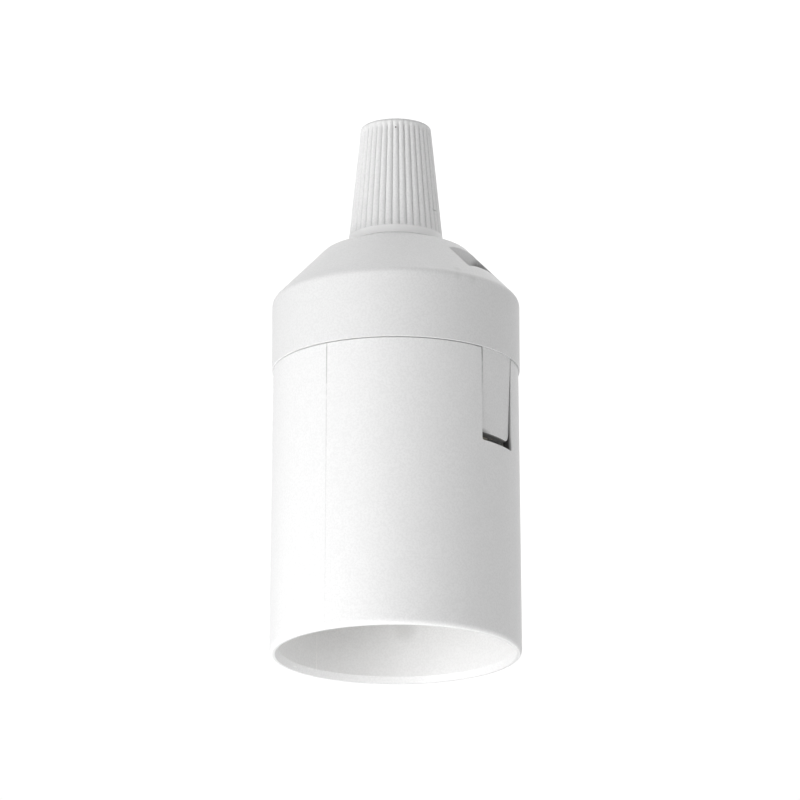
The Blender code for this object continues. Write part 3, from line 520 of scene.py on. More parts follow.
# Skirt: the smooth tube, its mouth lip and chamfer, its slot and its three lugs
skirt = {
    "wall": 1.42 * mm,
    "flare": 0.36 * mm,          # wider at the mouth than at the top
    "lipProud": 0.08 * mm,       # the frame's lip stands out this far, here it is rounded in
    "lipWidth": 0.46 * mm,
    "lipHeight": 0.90 * mm,
    "topRound": 0.12 * mm,
    "chamferWidth": 0.66 * mm,
    "chamferHeight": 1.00 * mm,
    # painted shade on the mouth's inner chamfer
    "chamferPaintedShade": 0.15,
    "slotWidth": 8.50 * mm,      # as the photo has it
    "slotDepth": 15.34 * mm,
    "slotCorner": 0.40 * mm,
    "slotEdge": 0.10 * mm,
    "clearInside": deg(1.4),     # columns left out beside the slot's edges
    "clearOutside": deg(2.2),
    "lugArc": deg(12),
    "lugHeight": 2.40 * mm,
    "lugReach": 0.95 * mm,
    "lugBelowTop": 3.50 * mm,
    "lugRound": 0.2 * mm,
    "firstLug": deg(60),
    "seamAngle": deg(-89.8),     # parting line down the outside
    "seamWidth": 0.16 * mm,
    "seamHeight": 0.018 * mm,
    "columns": 180,
}
skirtTopZ = skirtHigh.z
skirtMouthR = skirtHigh.x - skirt["lipProud"]
skirtTopR = skirtMouthR - skirt["flare"]
skirtInnerR = skirtTopR - skirt["wall"]
slotBottomZ = skirtTopZ - skirt["slotDepth"]
slotHalf = skirt["slotWidth"] / 2
lugTopZ = skirtTopZ - skirt["lugBelowTop"]
lugBottomZ = lugTopZ - skirt["lugHeight"]
lugInnerR = skirtInnerR - skirt["lugReach"]
lugAngles = [skirt["firstLug"] + fullTurn * k / 3 for k in range(3)]

skirtHairlines = [
    {"angle": skirt["seamAngle"], "halfWidth": 0.09 * mm, "height": skirtTopZ, "from": skirtInnerR + 0.5 * mm,
     "to": 1.0, "strength": [(0.10, 0.10), (0.60, 0.25), (0.80, 0.35), (0.98, 0.85)], "shade": (0.42, 0.42, 0.41, 1)},
    {"angle": deg(167.1), "halfWidth": 0.08 * mm, "height": skirtTopZ, "from": 0.0,
     "to": skirtInnerR + 0.4 * mm, "strength": [(0.0, 0.8), (0.3, 0.6)], "shade": (0.95, 0.95, 0.94, 1)},
]
skirtMarks = [
    mark((-8.58, 15.37, 8.60), 2.4, 0.35, (0.52, 0.52, 0.51)),
    mark((-18.90, 3.37, 0.92), 0.55, 1.0, (0.99, 0.99, 0.98), (1.0, 0.35, 2.0), 0.6),
    mark((-19.18, -1.06, 0.55), 0.40, 1.0, (0.99, 0.99, 0.98), (1.0, 0.35, 2.0), 0.6),
]


# Painted shade on the slot's walls and bottom, darker the deeper they lie, and on the mouth's inner chamfer
def slotShade(make, colour):
    spot = make.places()
    height = make.along(spot, up)
    side = make.along(spot, (0, 1, 0)).math("ABSOLUTE")
    margin = 0.12 * mm
    depth = skirtMouthR - (make.fromAxis() + height * (skirt["flare"] / skirtTopZ))
    deep = make.ramp(depth * (1 / skirt["wall"]), (0.06, 0), (0.20, 0.45), (0.45, 1))
    nearSlot = (side < (slotHalf + margin)) * (height > (slotBottomZ - margin))
    colour = make.mix(deep * nearSlot * (make.along(spot, (1, 0, 0)) > 0.0), colour, whiteLook["paintedShade"])
    onChamfer = (height < skirt["chamferHeight"]) * (depth > (skirt["lipWidth"] + 0.02 * mm))
    return make.mix(onChamfer * skirt["chamferPaintedShade"], colour, whiteLook["paintedShade"])


# the skirt's white is raised a little as painted light
skirtPlastic = whiteMoulding("skirtMoulding", skirtMarks, skirtHairlines, slotShade, tint=1.035)


def buildSkirt():
    mouthInner = skirtMouthR - skirt["wall"] - skirt["lipProud"]
    footR = skirtMouthR - skirt["lipWidth"]
    lip = [(footR + skirt["lipWidth"] * math.sin(deg(a)), skirt["lipHeight"] * (1 - math.cos(deg(a))))
           for a in range(0, 91, 10)]
    outline = roundedOutline([
        (mouthInner + skirt["chamferWidth"], 0.0),
        *lip,
        (skirtTopR, skirtTopZ, skirt["topRound"]),
        (skirtInnerR, skirtTopZ, skirt["topRound"]),
        (skirtInnerR, slotBottomZ),
        (mouthInner, skirt["chamferHeight"], 0.10 * mm),
    ])
    nearSlot = math.asin(slotHalf / skirtTopR)
    inside, outside = skirt["clearInside"], skirt["clearOutside"]
    clear = [(nearSlot - inside, nearSlot + outside),
             (fullTurn - nearSlot - outside, fullTurn - nearSlot + inside)]
    angles = evenAngles(skirt["columns"], 0.0, clear)
    seamHalf = skirt["seamWidth"] / 2 / skirtTopR
    seamAt = skirt["seamAngle"] % fullTurn
    angles = [a for a in angles if abs(a - seamAt) > 3 * seamHalf]
    angles = sorted(angles + [seamAt - seamHalf, seamAt, seamAt + seamHalf])

    def seam(radius, z, angle):
        on = angle == seamAt and radius > skirtInnerR + skirt["wall"] * 0.7 and z > skirt["lipHeight"]
        return skirt["seamHeight"] if on else 0.0

    piece = spun("skirt", outline, angles, seam)
    for middle in lugAngles:
        lug = roundedOutline([
            (lugInnerR, lugBottomZ, skirt["lugRound"]),
            (skirtInnerR + skirt["wall"] / 2, lugBottomZ),
            (skirtInnerR + skirt["wall"] / 2, lugTopZ),
            (lugInnerR, lugTopZ, skirt["lugRound"]),
        ], 3)
        join(piece, arcBody(lug, middle, skirt["lugArc"], 6))
    slot = roundedOutline([
        (-slotHalf, slotBottomZ, skirt["slotCorner"]),
        (slotHalf, slotBottomZ, skirt["slotCorner"]),
        (slotHalf, skirtTopZ + past),
        (-slotHalf, skirtTopZ + past),
    ], 5)
    cut(piece, alongX(slot, skirtInnerR - past, skirtMouthR + past))

    def onSlot(spot):
        return spot.x > 0 and abs(spot.y) < slotHalf + pickMargin and spot.z > slotBottomZ - pickMargin

    softenEdges(piece, onSlot, skirt["slotEdge"])
    return settle(piece, "skirt_tube", "skirt", skirtPlastic)


print("skirt built:", len(buildSkirt().data.polygons), "faces")


# Cap: cylinder, cone and crown outside; spigot, bayonet tracks and latch pocket inside
cap = {
    "side": 11.07 * mm,
    "coneAngle": deg(45.7),
    "coneTopR": 11.81 * mm,
    "crownR": 8.60 * mm,
    "wall": 1.70 * mm,
    "sideWall": 2.00 * mm,
    "shoulderRound": 1.56 * mm,
    "crownRound": 1.90 * mm,
    "rimRound": 0.05 * mm,
    "rimGap": 0.11 * mm,         # the dark line over the skirt
    "burr": 0.065 * mm,          # rough flash along the rim's lower edge
    "burrColumns": 720,
    "spigotWall": 1.85 * mm,
    "ledge": 0.90 * mm,
    "ledgeHeight": 1.40 * mm,
    "bossR": 8.60 * mm,
    "bossHeight": 1.80 * mm,
    "crownThick": 4.25 * mm,
    "pocketWidth": 8.40 * mm,
    "pocketFillet": 0.55 * mm,
    "pocketOuterX": 16.90 * mm,
    "pocketInnerX": 13.05 * mm,
    "pocketWall": 1.30 * mm,
    "pocketDepth": 4.60 * mm,
    "pocketEdge": 0.10 * mm,
    "throatStep": 0.35 * mm,
    "windowInnerR": 14.10 * mm,
    "barbReach": 0.85 * mm,
    "barbHeight": 1.50 * mm,
    "barbAboveEnd": 0.50 * mm,
    "barbArc": deg(20),
    "keyWidth": 2.40 * mm,
    "keyReach": 0.90 * mm,
    "twist": deg(25),
    "columns": 180,
}
capR = capHigh.x
rimZ = skirtTopZ + fit["seat"]
cornerZ = rimZ + cap["side"]
coneSlope = math.tan(cap["coneAngle"])
crownZ = capHigh.z
spigotOuterR = skirtInnerR - fit["side"]
spigotInnerR = spigotOuterR - cap["spigotWall"]
spigotBottomZ = capLow.z
bossZ = crownZ - cap["crownThick"]


def coneZ(radius):
    return cornerZ + (capR - radius) * coneSlope


coneTopZ = coneZ(cap["coneTopR"])
pocketHalf = cap["pocketWidth"] / 2
pocketFloorZ = coneZ(cap["pocketOuterX"]) - cap["pocketDepth"]
pocketBottomZ = pocketFloorZ - cap["pocketWall"]
ledgeZ = insertHigh.z
insertStepZ = spigotBottomZ + cap["barbAboveEnd"] + cap["barbHeight"] + fit["seat"]


def bayonetTrack(locked):
    slack = fit["side"] / spigotOuterR
    half = skirt["lugArc"] / 2 + slack
    start = locked - cap["twist"] - half
    turnIn = locked - cap["twist"] + half
    end = locked + half
    entrySteps = 3
    runSteps = 6
    angles = evenSteps(start, turnIn, entrySteps)[:-1] + evenSteps(turnIn, end, runSteps)
    levels = [spigotBottomZ - past, lugBottomZ - fit["seat"], lugTopZ + fit["seat"]]
    radii = (lugInnerR - fit["side"], skirtInnerR + fit["side"])
    bm = bmesh.new()
    grid = {}
    for i, angle in enumerate(angles):
        for j, z in enumerate(levels):
            if j > 0 or i <= entrySteps:
                grid[i, j] = [bm.verts.new((*polar(r, angle), z)) for r in radii]
    last = len(angles) - 1
    sides = [((0, 0), (0, 1)), ((0, 1), (0, 2)), ((entrySteps, 0), (entrySteps, 1)), ((last, 1), (last, 2))]
    for i in range(last):
        for j in (0, 1):
            if j == 1 or i < entrySteps:
                for side in (0, 1):
                    corners = [(i, j), (i + 1, j), (i + 1, j + 1), (i, j + 1)]
                    bm.faces.new([grid[c][side] for c in corners])
        floor = 0 if i < entrySteps else 1
        sides += [((i, 2), (i + 1, 2)), ((i, floor), (i + 1, floor))]
    for a, b in sides:
        bm.faces.new((grid[a][0], grid[b][0], grid[b][1], grid[a][1]))
    return finishPiece("bayonetTrack", bm)


# the rim's heavier flash: where it sits, and how much it adds
burrLumps = {
    -61.3: 0.9, -50.6: 0.8, -48.8: 0.7, -39.5: -0.5, -34.6: 0.7, -30.6: 0.8, -27.5: -0.4, -12.0: 0.5, 5.0: 0.6,
}
capMarks = [
    mark((17.25, -8.08, 59.24), 0.9, 0.22, (0.40, 0.40, 0.39)),
    mark((18.33, -9.15, 57.77), 1.0, 0.22, (0.40, 0.40, 0.39)),
    mark((19.44, -6.47, 57.78), 1.3, 0.15, (0.42, 0.42, 0.41)),
    # painted shadow in the latch pocket's inner corner
    mark((13.30, 4.00, 62.60), 2.2, 0.75, (0.16, 0.16, 0.158)),
]
# the cap's white is lowered as painted shade
capPlastic = whiteMoulding("capMoulding", capMarks, tint=0.965)


# uneven flash, more of it on the side that faces the camera
def burrSize(angle):
    rough = math.sin(61 * angle) + math.sin(97 * angle + 1.3) + math.sin(173 * angle + 0.4)
    facing = (math.degrees(angle) + 180) % 360 - 180
    size = 0.25 + 0.10 * rough + 0.55 * (smoothStep((facing + 55) / 4) - smoothStep((facing - 22) / 8))
    for place, extra in burrLumps.items():
        off = (math.degrees(angle) - place + 180) % 360 - 180
        size += extra * math.exp(-(off / 0.8) ** 2)
    return cap["burr"] * max(0.2, min(1.5, size))


def buildBurr(middleR, middleZ):
    rings = []
    for angle in evenAngles(cap["burrColumns"]):
        size = burrSize(angle)
        ring = [(middleR + size, middleZ), (middleR, middleZ - size),
                (middleR - size, middleZ), (middleR, middleZ + size)]
        rings.append(atAngle(ring, angle))
    return skinned("burr", rings)


def buildCap():
    stemHoleR = stemR + fit["side"]
    wallAcross = cap["wall"] / math.sin(cap["coneAngle"])
    rimInnerR = capR - cap["sideWall"]
    coneFootZ = cornerZ - (wallAcross - cap["sideWall"]) * coneSlope
    roofZ = bossZ + cap["bossHeight"]
    roofR = capR - wallAcross - (roofZ - cornerZ) / coneSlope
    ledgeR = spigotInnerR - cap["ledge"]
    ledgeTopZ = ledgeZ + fit["seat"] + cap["ledgeHeight"]
    lowRimZ = skirtTopZ + cap["rimGap"]
    outline = roundedOutline([
        (spigotInnerR, spigotBottomZ, 0.15 * mm),
        (spigotOuterR, spigotBottomZ, 0.25 * mm),
        (spigotOuterR, lowRimZ),
        (capR, lowRimZ, cap["rimRound"]),
        (capR, cornerZ, cap["shoulderRound"]),
        (cap["coneTopR"], coneTopZ, cap["crownRound"]),
        (cap["crownR"], crownZ),
        (stemHoleR, crownZ),
        (stemHoleR, bossZ),
        (cap["bossR"], bossZ),
        (cap["bossR"], roofZ),
        (roofR, roofZ),
        (rimInnerR, coneFootZ),
        (rimInnerR, ledgeTopZ + rimInnerR - ledgeR),
        (ledgeR, ledgeTopZ),
        (ledgeR, ledgeZ + fit["seat"]),
        (spigotInnerR, ledgeZ + fit["seat"]),
    ], 8)
    piece = spun("cap", outline, evenAngles(cap["columns"], deg(1)))

    # walls round the pocket, under the cone
    wallHalf = pocketHalf + cap["pocketWall"]
    innerX = cap["pocketInnerX"] - cap["pocketWall"]
    outerX = rimInnerR + cap["wall"] / 4

    def underCone(x):
        return coneZ(math.hypot(x, wallHalf)) - cap["wall"] / 3

    walls = [(innerX, pocketBottomZ), (outerX, pocketBottomZ),
             (outerX, min(underCone(outerX), cornerZ)), (innerX, underCone(innerX))]
    join(piece, alongY(walls, wallHalf))

    key = brick((-spigotInnerR - cap["spigotWall"] / 3, -cap["keyWidth"] / 2, insertStepZ + fit["seat"]),
                (-spigotInnerR + cap["keyReach"], cap["keyWidth"] / 2, ledgeZ + fit["seat"] * 2))
    join(piece, key)
    barbTop = insertStepZ - fit["seat"]
    for side in (math.pi / 2, -math.pi / 2):
        barb = [
            (spigotInnerR + cap["spigotWall"] / 3, barbTop - cap["barbHeight"]),
            (spigotInnerR + cap["spigotWall"] / 3, barbTop),
            (spigotInnerR - cap["barbReach"], barbTop),
            (spigotInnerR - cap["barbReach"], barbTop - cap["barbHeight"] / 3),
        ]
        join(piece, arcBody(barb, side, cap["barbArc"], 8))

    # latch pocket, throat and window
    throat = pocketHalf - cap["throatStep"]
    high = coneTopZ + past
    low = pocketBottomZ - cap["pocketWall"]
    tee = [(-throat, low), (throat, low), (throat, pocketFloorZ), (pocketHalf, pocketFloorZ),
           (pocketHalf, high), (-pocketHalf, high), (-pocketHalf, pocketFloorZ), (-throat, pocketFloorZ)]
    cut(piece, alongX(tee, cap["pocketInnerX"], cap["pocketOuterX"]))
    windowArc = 2 * math.asin((slotHalf + fit["side"]) / skirtInnerR)
    window = [(cap["windowInnerR"], spigotBottomZ - past), (skirtInnerR, spigotBottomZ - past),
              (skirtInnerR, pocketBottomZ - fit["seat"]), (cap["windowInnerR"], pocketBottomZ - fit["seat"])]
    cut(piece, arcBody(window, 0.0, windowArc, 12))
    for angle in lugAngles:
        cut(piece, bayonetTrack(angle))

    def onPocketEdge(spot):
        across = cap["pocketInnerX"] - pickMargin < spot.x < cap["pocketOuterX"] + pickMargin
        onCone = abs(spot.z - coneZ(math.hypot(spot.x, spot.y))) < 0.12 * mm
        return across and abs(spot.y) < pocketHalf + pickMargin and onCone

    def inCorner(spot):
        atInner = abs(spot.x - cap["pocketInnerX"]) < pickMargin
        return atInner and abs(abs(spot.y) - pocketHalf) < pickMargin and spot.z > pocketFloorZ + mm

    softenEdges(piece, onPocketEdge, cap["pocketEdge"])
    softenEdges(piece, inCorner, cap["pocketFillet"], 4)
    reach = 1.5 * cap["burr"]
    addShell(piece, buildBurr(capR - reach - 0.005 * mm, lowRimZ + reach / 2))
    return settle(piece, "holder", "cap", capPlastic)


# Stem: M10x1 thread above and below its collar
stem = {
    "boreR": 3.30 * mm,
    "collarR": 6.20 * mm,
    "collarHeight": 1.70 * mm,
    "collarRound": 0.15 * mm,
    "endBevel": 0.5 * mm,
    "threadR": 4.75 * mm,
    "pitch": 1.00 * mm,
    "threadDepth": 0.45 * mm,
    "rowsPerTurn": 6,
    "columns": 72,
}
stemR = stem["threadR"]
collarZ = nutLow.z


def threadedSide(low, high):
    count = max(2, round((high - low) / stem["pitch"] * stem["rowsPerTurn"]))
    return [(stemR - stem["threadDepth"] / 2, z) for z in evenSteps(low, high, count)]


def buildStem():
    top = collarZ + stem["collarHeight"]
    lowSide = threadedSide(stemLow.z + stem["endBevel"], collarZ)
    highSide = threadedSide(top, stemHigh.z - stem["endBevel"])
    threadRows = {z for _, z in lowSide[:-1] + highSide[1:]}
    rootR = stemR - stem["threadDepth"]
    outline = [(stem["boreR"], stemLow.z), (rootR, stemLow.z), *lowSide]
    outline += roundedOutline([(rootR, collarZ), (stem["collarR"], collarZ, stem["collarRound"]),
                               (stem["collarR"], top, stem["collarRound"]), (rootR, top)], 3)[1:-1]
    outline += [*highSide, (rootR, stemHigh.z), (stem["boreR"], stemHigh.z)]

    def thread(radius, z, angle):
        if z not in threadRows or radius > stemR:
            return 0.0
        phase = (z / stem["pitch"] - angle / fullTurn) % 1.0
        return stem["threadDepth"] * (abs(2 * phase - 1) - 0.5)

    piece = spun("stem", outline, evenAngles(stem["columns"]), thread)
    return settle(piece, "holder", "grip_stem", whitePlastic)


print("cap built:", len(buildCap().data.polygons), "faces")
print("stem built:", len(buildStem().data.polygons), "faces")


# Latch: the tongue in the slot, its stem behind the rim and its head in the pocket
latch = {
    "thick": 1.45 * mm,
    "lean": 0.42 * mm,
    "flush": 0.06 * mm,
    "halfWidth": 4.12 * mm,
    "sideShadow": 0.26 * mm,     # painted shadow line along the tongue's near edge
    "nearCorner": 0.60 * mm,
    "farCorner": 1.30 * mm,
    "endGap": 1.30 * mm,
    "endRound": 0.35 * mm,
    "rimGap": 0.03 * mm,         # under the cap's rim
    "headDepth": 3.10 * mm,
    "headHeight": 2.40 * mm,
    "headRound": 0.25 * mm,
    "edge": 0.08 * mm,
}

padR = skirtTopR - latch["flush"]
padTop = skirtTopZ + cap["rimGap"] - latch["rimGap"]
padEndZ = slotBottomZ + latch["endGap"]
padEndR = padR - latch["lean"]


# Painted shade on the tongue's hidden faces, a little less on its end face, and a painted shadow line along its near
# edge, broken up by noise
def tongueShade(make, colour):
    spot = make.places()
    height = make.along(spot, up)
    lean = latch["lean"] / (padTop - padEndZ)
    outer = (height - padEndZ) * lean + (padEndR - 0.05 * mm)
    endFace = (height < (padEndZ + 0.20 * mm)) * 0.05
    share = (make.fromAxis() < outer) * (height < padTop) - endFace
    colour = make.mix(share, colour, whiteLook["paintedShade"])
    side = make.along(spot, (0, -1, 0)) > (latch["halfWidth"] - latch["sideShadow"])
    shadowBreakup = make.ramp(make.grain(make.places((1, 1, 0.6)), 1300, 2), (0.30, 0.24), (0.62, 0.50))
    return make.mix(side * (height < padTop) * shadowBreakup, colour, whiteLook["paintedShade"])


# painted shade on the tongue's lower near corner
latchMarks = [mark((18.60, -4.09, 32.85), 3.0, 0.85, (0.14, 0.14, 0.138), (1.0, 1.0, 3.0), 0.12)]
latchPlastic = whiteMoulding("latchMoulding", latchMarks, touch=tongueShade)


def buildLatch():
    endZ = padEndZ
    endR = padEndR
    stemOutR = skirtInnerR - fit["side"]
    stemInR = stemOutR - latch["thick"]
    neckZ = pocketBottomZ - fit["seat"]
    outerX = cap["pocketOuterX"] - fit["side"]
    innerX = outerX - latch["headDepth"]
    rows = 14
    bend = latch["endRound"]
    outside = [(endR - bend * (1 - math.sin(deg(a))), endZ + bend * (1 - math.cos(deg(a)))) for a in (0, 25, 50, 75)]
    outside += zip(evenSteps(endR, padR, rows), evenSteps(endZ + bend, padTop, rows))
    shoulder = roundedOutline([outside[-1], (stemOutR, padTop, 0.15 * mm), (stemOutR, neckZ)], 3)[1:-1]
    stemRows = [(stemOutR, z) for z in evenSteps(padTop, neckZ - latch["thick"], 8)[1:]]
    slope = [(outerX, neckZ), (outerX - latch["thick"], neckZ), (stemInR, neckZ - 1.5 * latch["thick"])]
    backTop = padTop + latch["thick"] / 2
    backRows = [(stemInR, z) for z in evenSteps(slope[-1][1], backTop, 8)[1:]]
    inPad = padTop - latch["thick"] / 2
    inside = zip(evenSteps(padR - latch["thick"], endR - latch["thick"], rows), evenSteps(inPad, endZ, rows))
    outline = outside + shoulder + stemRows + slope + backRows + [*inside]
    half = latch["halfWidth"]
    near = latch["nearCorner"]
    far = latch["farCorner"]
    columns = [(near - half + (2 * half - near - far) * k / 12, 0.0) for k in range(13)]
    for k in range(1, 9):
        angle = math.pi / 2 * k / 8
        columns.append((half - far + far * math.sin(angle), far * (1 - math.cos(angle))))
        columns.insert(0, (near - half - near * math.sin(angle), near * (1 - math.cos(angle))))
    lift = inPad - endZ

    def placed(r, z, y, rise):
        return math.sqrt(r * r - y * y), y, z + rise * max(0.0, 1 - (z - endZ) / lift)

    piece = skinned("latch", [[placed(r, z, *column) for r, z in outline] for column in columns], closed=False)

    def onPad(spot):
        return spot.z < padTop - pickMargin

    softenEdges(piece, onPad, latch["edge"])
    headHalf = pocketHalf - fit["side"]
    neckHalf = headHalf - cap["throatStep"]
    headZ = pocketFloorZ + fit["seat"]
    join(piece, brick((innerX + 0.2 * mm, -neckHalf, neckZ - latch["thick"]),
                      (outerX - 0.2 * mm, neckHalf, headZ + latch["headHeight"] / 2)))
    join(piece, brick((innerX, -headHalf, headZ),
                      (outerX, headHalf, headZ + latch["headHeight"]), latch["headRound"]))
    settle(piece, None, "latch_leaf", latchPlastic)
    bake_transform(piece)
    return piece


print("latch built:", len(buildLatch().data.polygons), "faces")


# Grip nut: fluted cone on a smooth band, domed edge, cord hole
nut = {
    "baseR": 7.75 * mm,
    "topR": 5.71 * mm,
    "topRound": 0.62 * mm,
    "band": 1.35 * mm,
    "foot": 0.12 * mm,           # small round under the band
    "flutes": 39,
    "turn": deg(-0.815),         # sets a rib towards the camera's side
    "depth": 0.34 * mm,
    "ribArc": deg(60),           # half the arc of each rib's round back
    "runOut": 0.30 * mm,
    "fade": 0.90 * mm,           # the grooves run out over this much under the round edge
    # painted shade in the flutes' grooves
    "paintedGrooveShade": 0.22,
    "holeR": 3.50 * mm,
    "holeRound": 0.35 * mm,
    "clampTopR": 3.95 * mm,      # of the clamp's cone inside
    "clampStraight": 1 / 6,      # share of the clamp's height that is straight
}

nutMarks = [
    mark((3.26, -4.89, 86.68), 0.16, 1.0, (0.10, 0.09, 0.08), core=0.6),
    mark((7.21, 0.55, 73.29), 0.75, 0.6, (0.34, 0.34, 0.33), (1.0, 0.8, 4.5)),
]


# Painted shade in the grooves, deeper in darker; painted light on the plain band; painted shade on the domed top edge
def grooveShade(make, colour):
    spot = make.places()
    height = make.along(spot, up)
    taper = (nut["baseR"] - nut["topR"]) / (nutHigh.z - collarZ)
    sunk = (nut["baseR"] + collarZ * taper) - height * taper - make.fromAxis()
    share = make.ramp(sunk * (1 / nut["depth"]), (0.35, 0), (1.0, nut["paintedGrooveShade"]), (1.3, nut["paintedGrooveShade"]), (1.31, 0))
    grooves = share * (height > (collarZ + nut["band"])) * (height < (nutHigh.z - nut["topRound"]))
    colour = make.mix(grooves, colour, whiteLook["paintedShade"])
    # painted light on the band, which the cone shades
    onBand = (height < (collarZ + nut["band"])) * (height > (collarZ + nut["foot"]))
    colour = make.mix(onBand, colour, whiteLook["light"])
    # painted shade on the domed top edge
    return make.mix((height > (nutHigh.z - 0.8 * nut["topRound"])) * 0.18, colour, whiteLook["paintedShade"])


# the nut's white is raised as painted light
nutPlastic = whiteMoulding("nutMoulding", nutMarks, touch=grooveShade, speckScale=520, speckSize=0.035, tint=1.06)


def grooveDepth(share):
    across = (2 * share - 1) * math.sin(nut["ribArc"])
    low = math.cos(nut["ribArc"])
    return 1 - (math.sqrt(1 - across * across) - low) / (1 - low)


def buildNut():
    height = nutHigh.z - collarZ

    def outer(z):
        return nut["baseR"] + (nut["topR"] - nut["baseR"]) * (z - collarZ) / height

    grooveStart = collarZ + nut["band"]
    roundStart = nutHigh.z - nut["topRound"]
    fullStart = grooveStart + nut["runOut"]
    fadeStart = roundStart - nut["fade"]
    rows = [(outer(collarZ) - nut["foot"], collarZ, 0.0), (outer(collarZ), collarZ + nut["foot"], 0.0)]
    rows += [(outer(z), z, smoothStep(k / 6)) for k, z in enumerate(evenSteps(grooveStart, fullStart, 6))]
    rows += [(outer(z), z, 1.0) for z in evenSteps(fullStart, fadeStart, 7)[1:]]
    fading = [(outer(z), z, 1 - 0.75 * smoothStep(k / 5)) for k, z in enumerate(evenSteps(fadeStart, roundStart, 5))]
    rows += fading[1:]
    crest = outer(roundStart)
    for k in range(1, 9):
        angle = math.pi / 2 * k / 8
        rows.append((crest - nut["topRound"] * (1 - math.cos(angle)),
                     roundStart + nut["topRound"] * math.sin(angle), max(0.0, 0.25 - k / 16)))
    shares = [0.0, 0.05, 0.13, 0.24, 0.37, 0.5, 0.63, 0.76, 0.87, 0.95]
    angles = [nut["turn"] + (k - 0.5 + s) * fullTurn / nut["flutes"] for k in range(nut["flutes"]) for s in shares]
    depths = [grooveDepth(s) for _ in range(nut["flutes"]) for s in shares]
    rings = [[(*polar(radius - nut["depth"] * depth * sunk, angle), z) for angle, sunk in zip(angles, depths)]
             for radius, z, depth in rows]
    collarRoomZ = collarZ + stem["collarHeight"] + fit["seat"]
    roomR = stem["collarR"] + fit["side"]
    threadR = stemR + fit["side"]
    coneLow = clampLow.z + (clampHigh.z - clampLow.z) * nut["clampStraight"]
    coneTopR = nut["clampTopR"] + fit["side"]
    inner = roundedOutline([
        (roomR, collarZ), (roomR, collarRoomZ), (threadR, collarRoomZ), (threadR, coneLow),
        (coneTopR, clampHigh.z + fit["seat"]), (nut["holeR"], clampHigh.z + fit["seat"]),
        (nut["holeR"], nutHigh.z, nut["holeRound"]), (nut["topR"] - nut["topRound"] * 1.4, nutHigh.z),
    ], 5)
    rings += [[(*polar(radius, angle), z) for angle in angles] for radius, z in reversed(inner)]
    return settle(skinned("nut", rings), "nut", "grip_nut", nutPlastic)


print("nut built:", len(buildNut().data.polygons), "faces")


# Cord clamp: slit nylon cone with rings of teeth in its bore
clamp = {
    "boreR": 3.20 * mm,
    "slit": 0.90 * mm,
    "teeth": 3,
    "toothDepth": 0.22 * mm,
    "plainTop": 0.3 * mm,
    "plainFoot": 0.8 * mm,
}


def buildClamp():
    low = clampLow.z
    high = clampHigh.z
    corners = [
        (clamp["boreR"], low), (stemR, low, 0.12 * mm), (stemR, low + (high - low) * nut["clampStraight"]),
        (nut["clampTopR"], high, 0.15 * mm),
    ]
    teethHigh = high - clamp["plainTop"]
    toothStep = (teethHigh - low - clamp["plainFoot"]) / clamp["teeth"]
    bore = [(clamp["boreR"], high)]
    for k in range(clamp["teeth"]):
        z = teethHigh - k * toothStep
        bore += [(clamp["boreR"], z), (clamp["boreR"] + clamp["toothDepth"], z - toothStep * 0.6)]
    bore.append((clamp["boreR"], teethHigh - clamp["teeth"] * toothStep))
    piece = spun("clamp", roundedOutline(corners, 4) + bore, evenAngles(64, deg(3)))
    cut(piece, brick((-stemR - past, -clamp["slit"] / 2, low - past), (0, clamp["slit"] / 2, high + past)))
    return settle(piece, "clamp_ring", "cord_clamp", nylon)


buildClamp()
print("clamp built")


# Thread shell: rolled round thread with a flared mouth and a riveted flange
shell = {
    "majorR": 13.28 * mm,
    "minorR": 12.20 * mm,
    "pitch": 3.629 * mm,
    "turns": 5,
    "plain": 0.90 * mm,
    "thick": 0.35 * mm,
    "flangeR": 8.80 * mm,
    "bend": 0.9 * mm,            # outer round between the side and the flange
    "flareIn": 0.2 * mm,
    "flareUp": 0.35 * mm,
    "rowsPerTurn": 16,
    "columns": 96,
}
rivet = {
    "shankR": 1.10 * mm,
    "headR": 1.90 * mm,
    "headHeight": 0.60 * mm,
    "dimple": [(0.0, 0.12 * mm), (0.45 * mm, 0.04 * mm), (0.8 * mm, 0.0)],
    "play": 0.30 * mm,
    "liveY": 5.60 * mm,
    "shellAngles": {
        "shell_rivet_neutral": deg(270), "shell_rivet_left": deg(30), "shell_rivet_right": deg(150),
    },
}
shellRivetR = shell["majorR"] - rivet["headR"] - fit["side"]
rivetHoleR = rivet["shankR"] + rivet["play"]
threadLow = shellLow.z + shell["plain"]
threadHigh = shellHigh.z - shell["thick"] - shell["plain"]


def shellRadius(z, angle):
    depth = (shell["majorR"] - shell["minorR"]) / 2
    wave = math.cos(fullTurn * (z - threadLow) / shell["pitch"] - angle)
    share = smoothStep(min(z - threadLow, threadHigh - z) / (shell["pitch"] / 2))
    return shell["majorR"] - depth * (1 - wave) * share


def drillShellRivets(piece, low, high):
    for angle in rivet["shellAngles"].values():
        drill(piece, *polar(shellRivetR, angle), rivetHoleR, low, high)


